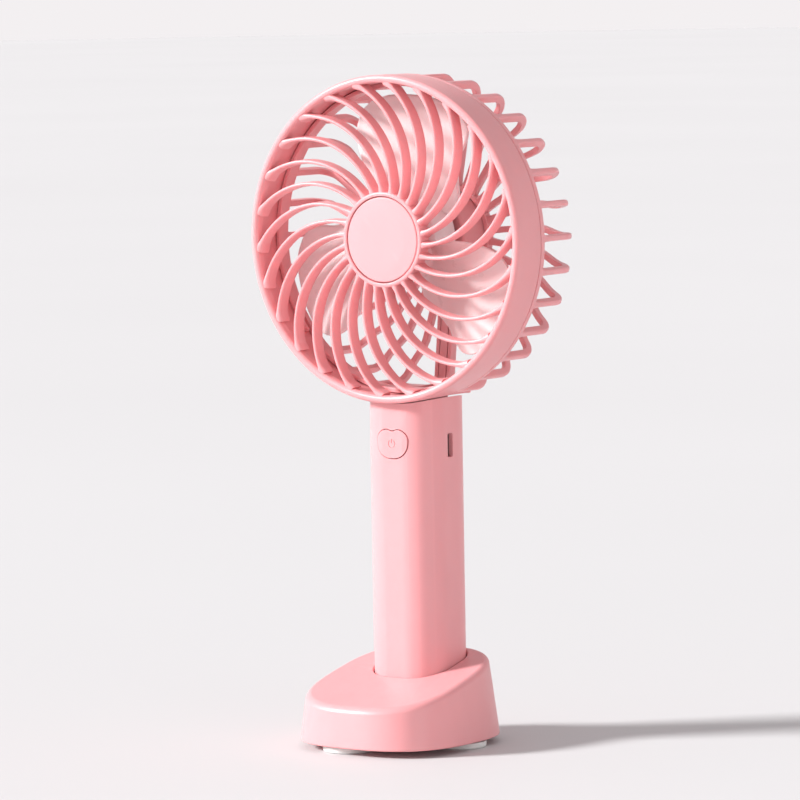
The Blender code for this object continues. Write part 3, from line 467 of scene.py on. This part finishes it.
def front_rib(bm, start_angle, steps=36):
    """One rib along an arc from the hub to the rim; it widens and lowers where it meets them."""
    course = start_angle + RIB_LEAN
    start = Vector((math.cos(start_angle), math.sin(start_angle))) * HUB_R
    centre = start + RIB_ARC_R * Vector((-math.sin(course), math.cos(course)))
    early, late = math.radians(1.4), math.radians(2.0)
    rings = []
    for i in range(steps + 1):
        turn = -early + (RIB_TURN + early + late) * i / steps
        out = Vector((math.sin(course + turn), -math.cos(course + turn)))
        from_hub = max(0, turn) * RIB_ARC_R
        from_rim = max(0, RIB_TURN - turn) * RIB_ARC_R
        flare = 0.75 * math.exp(-from_hub / (1.0 * MM)) + 0.9 * math.exp(-from_rim / (1.6 * MM))
        dip = 0.22 * math.exp(-from_hub / (1.2 * MM)) + 0.1 * math.exp(-from_rim / (1.5 * MM))
        half, front = (RIB_HALF + flare) * MM, (RIB_FRONT - dip) * MM
        rings.append([
            (centre.x + out.x * (RIB_ARC_R + side), depth, centre.y + out.y * (RIB_ARC_R + side))
            for side, depth in rib_section(half, front, RIB_BACK)
        ])
    loft(rings, bm)


def make_front_grille():
    inner = HEAD_R - RIM_WALL
    rim = fillet(
        [(RIM_IN, 3.2 * MM), (RIM_IN, 0), (HEAD_R, 0), (HEAD_R, RIM_BACK), (inner, RIM_BACK),
         (inner, 3.8 * MM)],
        [0.3 * MM, 1.25 * MM, 1.32 * MM, 0.35 * MM, 0.3 * MM, 0.3 * MM], 7)
    grille = made_object("front_grille", revolve(rim, 240, "Y"), HEAD)
    hub = fillet(
        [(0, 1.75 * MM), (13.9 * MM, 1.75 * MM), (13.9 * MM, 0.1 * MM), (15.3 * MM, 0.1 * MM),
         (15.3 * MM, 4.6 * MM), (14.0 * MM, 4.6 * MM), (14.0 * MM, 3.2 * MM), (0, 3.2 * MM)],
        [0, 0.2 * MM, 0.35 * MM, 0.6 * MM, 0.3 * MM, 0.3 * MM, 0.3 * MM, 0], 5, False)
    ribs = bmesh.new()
    for i in range(RIBS):
        front_rib(ribs, RIB_PHASE + i * 2 * math.pi / RIBS)
    combine(grille, ribs, "UNION", HEAD)
    combine(grille, revolve(hub, 120, "Y"), "UNION", HEAD)
    for degrees in LUG_ANGLES:
        a = math.radians(degrees)
        lug = sector(48.9 * MM, 51.2 * MM, a - LUG_HALF, a + LUG_HALF, 12.0 * MM, 13.0 * MM, 6)
        combine(grille, lug, "UNION", HEAD)
    finish(grille, GRILLE, "front_cover_group", ["front_cover"])
    outline = fillet(
        [(0, 0.12 * MM), (9 * MM, 0.14 * MM), (BADGE_R, 0.32 * MM), (BADGE_R, 1.45 * MM), (0, 1.45 * MM)],
        [0, 3 * MM, 0.45 * MM, 0.2 * MM, 0], 8, False)
    badge = made_object("badge", revolve(outline, 120, "Y"), HEAD)
    finish(badge, BADGE, "front_cover_group", ["hub_badge"])


# ---------------------------------------------------------------- rear grille

BARS = 30
BAR_PHASE = 0.5
BAR_TWIST = math.radians(4)
DUCT_GAP = math.radians(10)
BAR_R = 51.0 * MM
BAR_HALF_WIDE = 1.0
BAR_HALF_DEEP = 1.3 * MM
CORNER_R = 5.5 * MM
CORNER_START = 28.5 * MM
DOME_TOP = 38.0 * MM
DOME_BEND = 1.7
FLANGE_IN = 48.6 * MM
FLANGE_BACK = 15.6 * MM
CUP_R = 14.8 * MM
CUP_IN = 12.6 * MM
CUP_FRONT = 24.6 * MM
CUP_BACK = 39.2 * MM
RING_IN = 15.1 * MM
RING_OUT = 16.6 * MM
RING_FRONT = 35.8 * MM
SADDLE_HALF = math.radians(14.7)
SADDLE_BACK = 31.0 * MM
BAR_START = 14.6 * MM
NECK_SCREW_Z = 103.0 * MM
SCREW_HOLE = 1.1 * MM
WIRE_HALF = 1.7 * MM
CORD_HALF = 1.8 * MM
DOWN = 1.5 * math.pi


def dome_depth(radius):
    return DOME_TOP - DOME_BEND * radius * radius


def bar_path(inner_radius):
    """(radius, depth) places along a bar: back from the flange, round the corner, in over the dome."""
    path = [(BAR_R, depth) for depth in (BAR_START, 17 * MM, 20 * MM, 24 * MM, CORNER_START)]
    corner_end = BAR_R - CORNER_R
    for i in range(1, 10):
        a = math.radians(86) * i / 9
        path.append((BAR_R - CORNER_R * (1 - math.cos(a)),
                     CORNER_START + (dome_depth(corner_end) - CORNER_START) * math.sin(a)))
    start = corner_end - 1.4 * MM
    for i in range(19):
        radius = start + (inner_radius - start) * i / 18
        path.append((radius, dome_depth(radius)))
    return path


def sweep_radial(bm, path, angle_of, section_of):
    """Sweeps a (width, height) section along a (radius, depth) path; height points out of the head."""
    rings = []
    for i, (radius, depth) in enumerate(path):
        before, after = path[max(i - 1, 0)], path[min(i + 1, len(path) - 1)]
        along = Vector((after[0] - before[0], after[1] - before[1])).normalized()
        out = Vector((along.y, -along.x))
        angle = angle_of(radius)
        side = Vector((-math.sin(angle), 0, math.cos(angle)))
        rings.append([polar(radius + out.x * height, angle, depth + out.y * height) + side * width
                      for width, height in section_of(radius, depth)])
    loft(rings, bm)


def bar_section(radius, depth):
    """Outline of a bar, wider where it leaves the flange and where it meets the ring."""
    near_cup = math.exp(-max(0, radius - RING_OUT) / (1.3 * MM))
    near_flange = math.exp(-max(0, depth - FLANGE_BACK) / (0.7 * MM)) if radius > 50 * MM else 0
    half, deep = (BAR_HALF_WIDE + 0.35 * near_cup + 0.7 * near_flange) * MM, BAR_HALF_DEEP
    outline = [(-half, -deep), (half, -deep), (half, deep), (-half, deep)]
    return fillet(outline, [0.35 * MM, 0.35 * MM, 0.7 * MM, 0.7 * MM], 4)


def make_rear_grille():
    flange = fillet(
        [(FLANGE_IN, 10.6 * MM), (50.0 * MM, 10.6 * MM), (50.0 * MM, 13.5 * MM), (HEAD_R, 13.5 * MM),
         (HEAD_R, FLANGE_BACK), (FLANGE_IN, FLANGE_BACK)],
        [0.3 * MM, 0.3 * MM, 0, 0.35 * MM, 0.6 * MM, 0.4 * MM], 5)
    grille = made_object("rear_grille", revolve(flange, 240, "Y"), HEAD)
    bars = bmesh.new()
    for i in range(BARS):
        base = math.radians(BAR_PHASE + 360 / BARS * i)
        if abs(base - DOWN) < DUCT_GAP:
            continue

        def angle_of(radius, base=base):
            share = min(1, max(0, (BAR_R - 4 * MM - radius) / (12 * MM)))
            return base + BAR_TWIST * share * share * (3 - 2 * share)

        sweep_radial(bars, bar_path(RING_IN + 0.5 * MM), angle_of, bar_section)
    combine(grille, bars, "UNION", HEAD)
    ring = fillet(
        [(RING_IN, RING_FRONT), (RING_OUT, RING_FRONT), (RING_OUT, CUP_BACK), (RING_IN, CUP_BACK)],
        [0.15 * MM, 0.3 * MM, 0.5 * MM, 0.15 * MM], 5)
    combine(grille, revolve(ring, 120, "Y"), "UNION", HEAD)
    half = SADDLE_HALF * BAR_R
    saddle = fillet(
        [(-half, BAR_START), (half, BAR_START), (half, SADDLE_BACK), (-half, SADDLE_BACK)],
        [0, 0, 2.2 * MM, 2.2 * MM], 6)
    rings = [[polar(r, DOWN + width / BAR_R, depth) for width, depth in saddle]
             for r in (50.2 * MM, 52.3 * MM)]
    combine(grille, loft(rings), "UNION", HEAD)
    duct = bmesh.new()
    outline = fillet(
        [(-3.0, -2.4), (-1.7, -2.4), (-1.7, 0.1), (1.7, 0.1), (1.7, -2.4), (3.0, -2.4), (3.0, 1.4),
         (-3.0, 1.4)],
        [0.3, 0.2, 0.2, 0.2, 0.2, 0.3, 0.9, 0.9], 4)
    outline = [(x * MM, y * MM) for x, y in outline]
    path = bar_path(RING_IN + 0.4 * MM)
    sweep_radial(duct, path, lambda radius: DOWN, lambda radius, depth: outline)
    combine(grille, duct, "UNION", HEAD)
    neck = fillet(
        [(-6.5 * MM, 19.5 * MM), (6.5 * MM, 19.5 * MM), (6.5 * MM, 26.6 * MM), (-6.5 * MM, 26.6 * MM)],
        0.6 * MM, 4)
    combine(grille, prism(neck, 98.5 * MM - HEAD.z, -51.2 * MM), "UNION", HEAD)
    wide = math.radians(2.9)
    for degrees in LUG_ANGLES:
        a, opened = math.radians(degrees), math.radians(degrees + LUG_TRAVEL)
        track = sector(48.0 * MM, 50.12 * MM, a - wide, opened + wide, 11.7 * MM, 13.3 * MM)
        mouth = sector(48.1 * MM, 50.16 * MM, opened - wide, opened + wide, 9.9 * MM, 13.2 * MM)
        combine(grille, track, "DIFFERENCE", HEAD)
        combine(grille, mouth, "DIFFERENCE", HEAD)
    neck_way = box((-WIRE_HALF, 21.3 * MM, 90 * MM - HEAD.z), (WIRE_HALF, 24.9 * MM, -48 * MM))
    wall_way = box((-WIRE_HALF, 24.7 * MM, -51.2 * MM), (WIRE_HALF, 31.5 * MM, -46 * MM))
    notch = box((-WIRE_HALF, 34.8 * MM, -RING_OUT - 0.3 * MM), (WIRE_HALF, 37.7 * MM, -RING_IN + 1 * MM))
    for cut in (neck_way, wall_way, notch):
        combine(grille, cut, "DIFFERENCE", HEAD)
    for x in (-4.2 * MM, 4.2 * MM):
        hole = drill(SCREW_HOLE, 16.5 * MM, 29.5 * MM, axis="Y")
        combine(grille, hole, "DIFFERENCE", HEAD + Vector((x, 0, NECK_SCREW_Z - HEAD.z)))
    finish(grille, GRILLE, "fan", ["rear_cover"])
    make_strip(path)


def make_strip(path):
    """The cover over the leads, along the bottom bar's path."""
    strip = bmesh.new()
    outline = fillet([(-1.4, -2.4), (1.4, -2.4), (1.4, -1.7), (-1.4, -1.7)], 0.2, 3)
    flat = [(x * MM, y * MM) for x, y in outline]
    strip_path = [(r, d) for r, d in path if r >= RING_OUT + 0.25 * MM and d > 29 * MM]
    sweep_radial(strip, strip_path, lambda radius: DOWN, lambda radius, depth: flat)
    finish(made_object("duct_strip", strip, HEAD), GRILLE, "fan", ["duct_cover"])


def make_motor_cup():
    cup = fillet(
        [(4.2 * MM, CUP_FRONT), (CUP_R, CUP_FRONT), (CUP_R, CUP_BACK), (CUP_IN, CUP_BACK),
         (CUP_IN, 26.2 * MM), (4.2 * MM, 26.2 * MM)],
        [0.2 * MM, 1.0 * MM, 0.3 * MM, 0.2 * MM, 0.4 * MM, 0.2 * MM], 5)
    motor_cup = made_object("motor_cup_fine", revolve(cup, 120, "Y"), HEAD)
    notch = box((-CORD_HALF, 36.0 * MM, -CUP_R - 0.1 * MM), (CORD_HALF, 42.0 * MM, -12.0 * MM))
    combine(motor_cup, notch, "DIFFERENCE", HEAD)
    for x in (-6.5 * MM, 6.5 * MM):
        hole = drill(SCREW_HOLE, 23.6 * MM, 27.6 * MM, axis="Y")
        combine(motor_cup, hole, "DIFFERENCE", HEAD + Vector((x, 0, 0)))
    finish(motor_cup, GRILLE, "fan", ["motor_cup"])


def make_hub_cap():
    cap = fillet(
        [(0, 39.5 * MM), (11.3 * MM, 39.5 * MM), (11.3 * MM, 38.8 * MM), (12.3 * MM, 38.8 * MM),
         (12.3 * MM, 39.5 * MM), (CUP_R, 39.5 * MM), (CUP_R, 40.75 * MM), (11.5 * MM, 41.0 * MM),
         (0, 41.0 * MM)],
        [0, 0, 0.15 * MM, 0.15 * MM, 0, 0.2 * MM, 0.7 * MM, 6 * MM, 0], 6, False)
    hub_cap = made_object("rear_cap", revolve(cap, 120, "Y"), HEAD)
    notch = box((-CORD_HALF, 38.0 * MM, -12.8 * MM), (CORD_HALF, 39.4 * MM, -10.8 * MM))
    combine(hub_cap, notch, "DIFFERENCE", HEAD)
    finish(hub_cap, PINK, "fan", ["rear_hub_cap"])


# ---------------------------------------------------------------- impeller

BLADES = 3
BLADE_PHASE = 118
BLADE_SPAN = math.radians(82)
BLADE_FRONT = 8.8 * MM
BLADE_RISE = 11.8 * MM
BLADE_THICK = 1.2 * MM
BLADE_ROUND = 0.6 * MM
TIP_START = 45.2 * MM
TIP_REACH = 0.82 * MM
# (radius in mm, leading angle, trailing angle)
BLADE_SHAPE = [(12.6, 0, 92), (20, -1, 82), (25, -1, 71), (31, 0.5, 64),
               (37, 3, 63), (42, 8, 60), (45, 14, 52), (46, 22, 44)]


def blade_edges(radius):
    """Leading and trailing angle at this radius, on one smooth curve through the given places."""
    last = len(BLADE_SHAPE) - 1
    for i in range(last):
        if radius <= BLADE_SHAPE[i + 1][0] * MM or i == last - 1:
            break
    a, b = BLADE_SHAPE[i], BLADE_SHAPE[i + 1]
    before, after = BLADE_SHAPE[max(i - 1, 0)], BLADE_SHAPE[min(i + 2, last)]
    t = (radius / MM - a[0]) / (b[0] - a[0])
    found = []
    for k in (1, 2):
        m0 = (b[k] - before[k]) / (b[0] - before[0]) * (b[0] - a[0])
        m1 = (after[k] - a[k]) / (after[0] - a[0]) * (b[0] - a[0])
        found.append((2 * t**3 - 3 * t**2 + 1) * a[k] + (t**3 - 2 * t**2 + t) * m0
                     + (3 * t**2 - 2 * t**3) * b[k] + (t**3 - t**2) * m1)
    return math.radians(found[0]), math.radians(found[1])


def blade_ring(radius, turn, across=30):
    """Section of a blade at one radius: thin at both edges, and thinner towards the tip."""
    lead, trail = blade_edges(radius)
    tip = math.sqrt(max(0.0, 1 - max(0.0, (radius - TIP_START) / TIP_REACH) ** 2))
    ring = []
    for face, order in ((-0.5, range(across)), (0.5, range(across - 1, -1, -1))):
        for j in order:
            u = 0.5 - 0.5 * math.cos(math.pi * j / (across - 1))
            back = lead + (trail - lead) * u
            edge = min(u, 1 - u) * (trail - lead) * radius
            round_off = math.sqrt(max(0.0, 1 - max(0.0, 1 - edge / BLADE_ROUND) ** 2))
            thick = BLADE_THICK * max(0.16, tip * round_off)
            depth = BLADE_FRONT + BLADE_RISE * back / BLADE_SPAN
            ring.append(polar(radius, turn - back, depth + face * thick))
    return ring


def make_impeller():
    hub = fillet(
        [(0, 9.2 * MM), (12.0 * MM, 9.2 * MM), (13.2 * MM, 11.0 * MM), (13.2 * MM, 22.4 * MM),
         (12.1 * MM, 22.4 * MM), (12.1 * MM, 11.8 * MM), (3.6 * MM, 11.8 * MM), (3.6 * MM, 21.5 * MM),
         (1.3 * MM, 21.5 * MM), (1.3 * MM, 10.8 * MM), (0, 10.8 * MM)],
        [0, 1.5 * MM, 0.8 * MM, 0.4 * MM, 0.3 * MM, 0.4 * MM, 0.5 * MM, 0.3 * MM, 0.1 * MM, 0, 0], 6, False)
    impeller = made_object("fan_wheel", revolve(hub, 96, "Y"), HEAD)
    blades = bmesh.new()
    radii = [12.6 + 32.4 * i / 24 for i in range(25)] + [45.3, 45.6, 45.8, 45.95, 46.0]
    for i in range(BLADES):
        turn = math.radians(BLADE_PHASE + 360 / BLADES * i)
        loft([blade_ring(r * MM, turn) for r in radii], blades)
    combine(impeller, blades, "UNION", HEAD)
    finish(impeller, PALE, "impeller_group", ["impeller"], 50)


# ---------------------------------------------------------------- handle

HANDLE_HALF = 13.6 * MM
HANDLE_ROUND = 10.5 * MM
SLEEVE_WALL = 1.6 * MM
SLEEVE_TOP_UNDER_HEAD = 44 * MM
INNER_HALF = HANDLE_HALF - SLEEVE_WALL
INNER_ROUND = HANDLE_ROUND - SLEEVE_WALL
CAP_TOP = 11.5 * MM
BUTTON_Z = 97.3 * MM
BUTTON_HALF_X = 5.8 * MM
BUTTON_HALF_Z = 4.7 * MM
BUTTON_POWER = 2.4
BUTTON_FLARE = 0.10
BUTTON_DIP = 0.75 * MM
SYMBOL_FLOOR = -13.67 * MM


def button_outline(grow=0.0, steps=120):
    """A rounded square, a little wider at the top, with a shallow dip in the middle of its top edge."""
    points = []
    for i in range(steps):
        a = math.pi / 2 + i * 2 * math.pi / steps
        c, s = math.cos(a), math.sin(a)
        reach = 1 / (abs(c) ** BUTTON_POWER + abs(s) ** BUTTON_POWER) ** (1 / BUTTON_POWER)
        x = reach * c * BUTTON_HALF_X * (1 + BUTTON_FLARE * s)
        z = reach * s * BUTTON_HALF_Z
        z -= BUTTON_DIP * math.exp(-(x / (1.5 * MM)) ** 2) * max(0, s)
        length = math.hypot(x, z)
        points.append((x * (1 + grow / length), z * (1 + grow / length)))
    return points


def facing(outline, low, high):
    return loft([[(x, y, z) for x, z in outline] for y in (low, high)])


def make_sleeve():
    low, top = SLEEVE_LOW.z, HEAD.z - SLEEVE_TOP_UNDER_HEAD
    sleeve = made_object("sleeve", prism(rounded_square(HANDLE_HALF, HANDLE_ROUND), low, top), HANDLE)
    inside = prism(rounded_square(INNER_HALF, INNER_ROUND), 1 * MM, top + 1 * MM)
    hollow = made_object("hollow", inside, HANDLE)
    roof = drill(HEAD_R + 2.1 * MM, -5 * MM, 45 * MM, 240, "Y")
    combine(hollow, roof, "DIFFERENCE", HEAD)
    scoop = drill(HEAD_R + GAP, -6 * MM, 46 * MM, 240, "Y")
    combine(sleeve, scoop, "DIFFERENCE", HEAD)
    combine(sleeve, bmesh_of(hollow), "DIFFERENCE", Vector((0, 0, 0)))
    neck = box((-6.8 * MM, 1.7 * MM, 104 * MM), (6.8 * MM, 9.4 * MM, 114 * MM))
    combine(sleeve, neck, "DIFFERENCE", HANDLE)
    slot = fillet(
        [(-2.0 * MM, 92.45 * MM), (0.8 * MM, 92.45 * MM), (0.8 * MM, 100.15 * MM),
         (-2.0 * MM, 100.15 * MM)],
        0.5 * MM, 4)
    charging = loft([[(x, y, z) for y, z in slot] for x in (11 * MM, 15 * MM)])
    combine(sleeve, charging, "DIFFERENCE", HANDLE)
    opening = facing(button_outline(GAP), -16 * MM, -9 * MM)
    combine(sleeve, opening, "DIFFERENCE", HANDLE + Vector((0, 0, BUTTON_Z)))
    soften(sleeve, 0.22 * MM, 2, 40)
    finish(sleeve, PINK, "fan", ["handle_sleeve"])


def ring_piece(inner, outer, start, end, low, high, steps=28):
    """Part of a flat ring in the (x, z) plane, between two y values."""
    points = [(r * math.cos(a), r * math.sin(a))
              for r, order in ((outer, range(steps + 1)), (inner, range(steps, -1, -1)))
              for a in [start + (end - start) * i / steps for i in order]]
    return facing(points, low, high)


def make_button():
    at = HANDLE + Vector((0, 0, BUTTON_Z))
    button = made_object("button", facing(button_outline(), -16 * MM, -11 * MM), at)
    face = prism(rounded_square(HANDLE_HALF + 0.25 * MM, HANDLE_ROUND + 0.25 * MM), -20 * MM, 20 * MM)
    combine(button, face, "INTERSECT", at)
    soften(button, 0.35 * MM, 3, 40)
    combine(button, facing(button_outline(0.7 * MM), -11.02 * MM, -10.2 * MM), "UNION", at)
    stem = drill(1.6 * MM, -10.6 * MM, -9.9 * MM, 48, "Y")
    combine(button, stem, "UNION", at)
    opening = math.radians(38)
    start, end = math.pi / 2 + opening, 2.5 * math.pi - opening
    circle = ring_piece(1.12 * MM, 1.4 * MM, start, end, -16 * MM, SYMBOL_FLOOR)
    line = box((-0.14 * MM, -16 * MM, 0.25 * MM), (0.14 * MM, SYMBOL_FLOOR, 1.5 * MM))
    combine(button, circle, "DIFFERENCE", at)
    combine(button, line, "DIFFERENCE", at)
    finish(button, PINK, "button_group", ["power_button"])


def screw(name, place, body, node, head_r, shank_r, low, head_high, high):
    """Pan-head screw with a cross recess, head down; its threads are turned grooves."""
    profile = [(0, low), (head_r, low), (head_r, head_high), (shank_r, head_high)]
    radii = [0, (head_high - low) * 0.45, 0.05 * MM, 0.05 * MM]
    pitch = 0.6 * MM
    turns = int((high - head_high - 0.8 * MM) / pitch)
    for i in range(turns):
        z = head_high + 0.3 * MM + i * pitch
        profile += [(shank_r * 0.8, z + pitch * 0.5), (shank_r, z + pitch)]
        radii += [0, 0]
    profile += [(shank_r, high - 0.4 * MM), (shank_r * 0.4, high), (0, high)]
    radii += [0, 0, 0]
    made = made_object(name, revolve(fillet(profile, radii, 4, False), 40), place)
    wide, long, deep = head_r * 0.17, head_r * 0.62, (head_high - low) * 0.65
    for a, b in ((wide, long), (long, wide)):
        tool = box((-a, -b, low - 1 * MM), (a, b, low + deep))
        combine(made, tool, "DIFFERENCE", place)
    finish(made, STEEL, body, [node])


def make_bottom_cap():
    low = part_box("handle_bottom_cap")[0].z
    rings = []
    for rise, edge in ((0, 0.8), (0.1, 0.42), (0.35, 0.14), (0.8, 0), (1.6, 0), (1.8, 0.2)):
        outline = rounded_square(HANDLE_HALF - edge * MM, HANDLE_ROUND - edge * MM)
        rings.append([(x, y, low + rise * MM) for x, y in outline])
    cap = made_object("bottom_cap", loft(rings), HANDLE)
    plug = prism(rounded_square(INNER_HALF - GAP, INNER_ROUND - GAP), low + 0.5 * MM, CAP_TOP)
    combine(cap, plug, "UNION", HANDLE)
    sink = [(0, 5 * MM), (2.2 * MM, 5 * MM), (2.2 * MM, 8.8 * MM), (1.2 * MM, 8.8 * MM),
            (1.2 * MM, 13 * MM), (0, 13 * MM)]
    combine(cap, revolve(sink, 48), "DIFFERENCE", HANDLE)
    finish(cap, PINK, "fan", ["handle_bottom_cap"])
    screw("cap_screw_fine", HANDLE, "fan", "cap_screw", head_r=1.9 * MM, shank_r=0.9 * MM,
          low=7.3 * MM, head_high=8.5 * MM, high=13.7 * MM)


# ---------------------------------------------------------------- dock

DOCK_HALF_X = 29.0 * MM
DOCK_HALF_Y = 30.2 * MM
DOCK_POWER = 2.7
DOCK_BOTTOM = 2.3 * MM
TAPER = 0.13
FRONT_TALL = 13.0 * MM
BACK_TALL = 26.8 * MM
DOCK_WALL = 2.2 * MM
DOCK_SOFT = 1.9 * MM
SOCKET_WALL = 2.0 * MM
POST_R = 2.8 * MM
POST_BORE = 1.3 * MM
PLATE_LOW = 2.6 * MM
PLATE_TOP = 4.4 * MM
POST_LOW = 4.7 * MM
POCKET_FLOOR = 6.2 * MM
SLOPE = (BACK_TALL - FRONT_TALL) / (2 * DOCK_HALF_Y - TAPER * (FRONT_TALL + BACK_TALL))
MID_TALL = FRONT_TALL + SLOPE * (DOCK_HALF_Y - TAPER * FRONT_TALL)
SCREWS = [(22.5 * MM, 205), (22.5 * MM, 335), (9.0 * MM, 270)]
POSTS = [(r * math.cos(math.radians(d)), r * math.sin(math.radians(d))) for r, d in SCREWS]


def footprint(angle):
    """Distance from the dock's centre line to its bottom outline."""
    across = (abs(math.cos(angle)) / DOCK_HALF_X) ** DOCK_POWER
    along = (abs(math.sin(angle)) / DOCK_HALF_Y) ** DOCK_POWER
    return (across + along) ** (-1 / DOCK_POWER)


def slope_ring(inset, drop, steps=200):
    """Ring where the tapered wall, moved in, meets the sloping top, moved down."""
    middle = MID_TALL - drop
    ring = []
    for i in range(steps):
        a = i * 2 * math.pi / steps
        reach = (footprint(a) - inset - TAPER * middle) / (1 + TAPER * SLOPE * math.sin(a))
        x, y = reach * math.cos(a), reach * math.sin(a)
        ring.append((x, y, DOCK_BOTTOM + middle + SLOPE * y))
    return ring


def level_ring(inset, z, steps=200):
    """Ring at one height, inside the bottom outline."""
    ring = []
    for i in range(steps):
        a = i * 2 * math.pi / steps
        reach = footprint(a) - inset
        ring.append((reach * math.cos(a), reach * math.sin(a), z))
    return ring


def make_dock():
    rings = [level_ring(inset * MM, DOCK_BOTTOM + rise * MM)
             for inset, rise in ((0.5, 0), (0.2, 0.12), (0.04, 0.35), (0, 0.6))]
    for i in range(11):
        a = i / 10 * math.pi / 2
        rings.append(slope_ring(DOCK_SOFT * (1 - math.cos(a)), DOCK_SOFT * (1 - math.sin(a))))
    dock = made_object("dock_shell", loft(rings), DOCK)
    inside = [level_ring(DOCK_WALL, DOCK_BOTTOM - 1 * MM), slope_ring(DOCK_WALL + 0.4 * MM, DOCK_WALL)]
    hollow = made_object("hollow", loft(inside), DOCK)
    walls = rounded_square(HANDLE_HALF + SOCKET_WALL, HANDLE_ROUND + SOCKET_WALL)
    combine(hollow, prism(walls, POST_LOW, 45 * MM), "DIFFERENCE", HANDLE)
    for x, y in POSTS:
        post = drill(POST_R, POST_LOW, 45 * MM, 48)
        combine(hollow, post, "DIFFERENCE", DOCK + Vector((x, y, 0)))
    combine(dock, bmesh_of(hollow), "DIFFERENCE", Vector((0, 0, 0)))
    rim_height = DOCK_BOTTOM + MID_TALL + SLOPE * (HANDLE.y - DOCK.y)
    rings = [[(x, y, POCKET_FLOOR) for x, y in rounded_square(HANDLE_HALF + GAP, HANDLE_ROUND + GAP)]]
    for drop, grow in ((0.75, 0.0), (0.5, 0.05), (0.25, 0.18), (0.08, 0.38), (0.0, 0.6), (-3.0, 0.6)):
        outline = rounded_square(HANDLE_HALF + GAP + grow * MM, HANDLE_ROUND + GAP + grow * MM)
        rings.append([(x, y, rim_height + SLOPE * y - drop * MM) for x, y in outline])
    combine(dock, loft(rings), "DIFFERENCE", HANDLE)
    for x, y in POSTS:
        bore = drill(POST_BORE, 3 * MM, 10.6 * MM)
        combine(dock, bore, "DIFFERENCE", DOCK + Vector((x, y, 0)))
    finish(dock, PINK, "dock", ["dock_body"])


def make_base_plate():
    """The plate with its three countersunk screws."""
    inset = DOCK_WALL + 2 * GAP + TAPER * (PLATE_TOP - DOCK_BOTTOM)
    edge = ((0.3, PLATE_LOW), (0.08, 2.7 * MM), (0, 2.95 * MM), (0, 4.25 * MM), (0.15, PLATE_TOP))
    rings = [level_ring(inset + more * MM, z) for more, z in edge]
    plate = made_object("base_plate", loft(rings), DOCK)
    sink = [(0, 1 * MM), (2.7 * MM, 1 * MM), (2.7 * MM, 3.7 * MM), (1.4 * MM, 3.7 * MM),
            (1.4 * MM, 6 * MM), (0, 6 * MM)]
    for i, (x, y) in enumerate(POSTS):
        at = DOCK + Vector((x, y, 0))
        combine(plate, revolve(sink, 48), "DIFFERENCE", at)
        screw(f"dock_screw_fine_{i + 1}", at, "dock", f"dock_screw_{i + 1}", head_r=2.3 * MM,
              shank_r=1.0 * MM, low=2.65 * MM, head_high=3.4 * MM, high=10.0 * MM)
    finish(plate, PINK, "dock", ["dock_base_plate"])


def make_feet():
    for name in ("foot_front", "foot_right", "foot_left"):
        low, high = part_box(name)
        radius = (high.x - low.x) / 2
        outline = fillet(
            [(0, 0.04 * MM), (radius - 2 * MM, 0), (radius, 0), (radius, 2.0 * MM), (0, 2.0 * MM)],
            [0, 0, 0.8 * MM, 0.2 * MM, 0], 7, False)
        foot = made_object(f"{name}_fine", revolve(outline, 72), upright(name))
        finish(foot, SILICONE, "dock", [name])


make_front_grille()
make_rear_grille()
make_motor_cup()
make_hub_cap()
make_impeller()
make_sleeve()
make_button()
make_bottom_cap()
make_dock()
make_base_plate()
make_feet()


# ---------------------------------------------------------------- CAD pieces that keep their shape

LOOKS = [
    (STEEL, ["motor_can", "motor_screw_left", "motor_screw_right", "motor_shaft", "neck_screw_left",
             "neck_screw_right", "board_screw_left", "board_screw_right", "battery_tab_bottom",
             "battery_tab_top", "usb_socket"]),
    (BLACK, ["motor_end_cap", "usb_tongue", "tact_switch", "switch_plunger"]),
    (CORE, ["motor_magnet", "motor_rotor"]),
    (BRONZE, ["front_bush", "rear_bush"]),
    (RED_LEAD, ["motor_lead_red", "battery_lead_red"]),
    (BLACK_LEAD, ["motor_lead_black", "battery_lead_black"]),
    (WHITE, ["handle_chassis"]),
    (WRAP, ["battery_cell"]),
    (MASK, ["circuit_board"]),
]
for material, nodes in LOOKS:
    for node in nodes:
        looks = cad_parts[node].data.materials
        looks.clear()
        looks.append(material)


# ---------------------------------------------------------------- floor and light

def make_floor():
    bm = bmesh.new()
    bmesh.ops.create_circle(bm, cap_ends=True, segments=96, radius=14)
    mesh = bpy.data.meshes.new("floor")
    bm.to_mesh(mesh)
    bm.free()
    floor = bpy.data.objects.new("floor", mesh)
    scene.collection.objects.link(floor)
    made, tree, shader = nodes_of("pale_floor")
    tint = ramp(tree, noise(tree, 1.4, 2), [(0.3, (0.65, 0.633, 0.638)), (0.7, (0.665, 0.648, 0.653))])
    tree.links.new(tint, shader.inputs["Base Color"])
    shader.inputs["Roughness"].default_value = 0.7
    mesh.materials.append(made)


make_floor()

world = bpy.data.worlds.new("studio")
scene.world = world
world.use_nodes = True
sky = world.node_tree
parts = sky.nodes.new("ShaderNodeSeparateXYZ")
sky.links.new(sky.nodes.new("ShaderNodeTexCoord").outputs["Generated"], parts.inputs[0])
fade = ramp(sky, parts.outputs[2], [(0.09, (0.90, 0.87, 0.88)), (0.45, (0.54, 0.53, 0.54))])
sky.links.new(fade, sky.nodes["Background"].inputs["Color"])

KEY_SPREAD = math.radians(12)
FILL_FROM = heading(66, 2)
FILL_AIM = Vector((0, 0, 0.05))
FILL_DISTANCE = 1.6
key = add_light("key", "SUN", heading(-47, 28), 5.3, (0.985, 1.0, 1.0))
key.data.angle = KEY_SPREAD
fill = add_light("fill", "AREA", FILL_FROM, 4.2, (1.0, 0.95, 0.95))
fill.data.shape = "DISK"
fill.data.size = 0.7
fill.location = FILL_AIM + FILL_DISTANCE * FILL_FROM
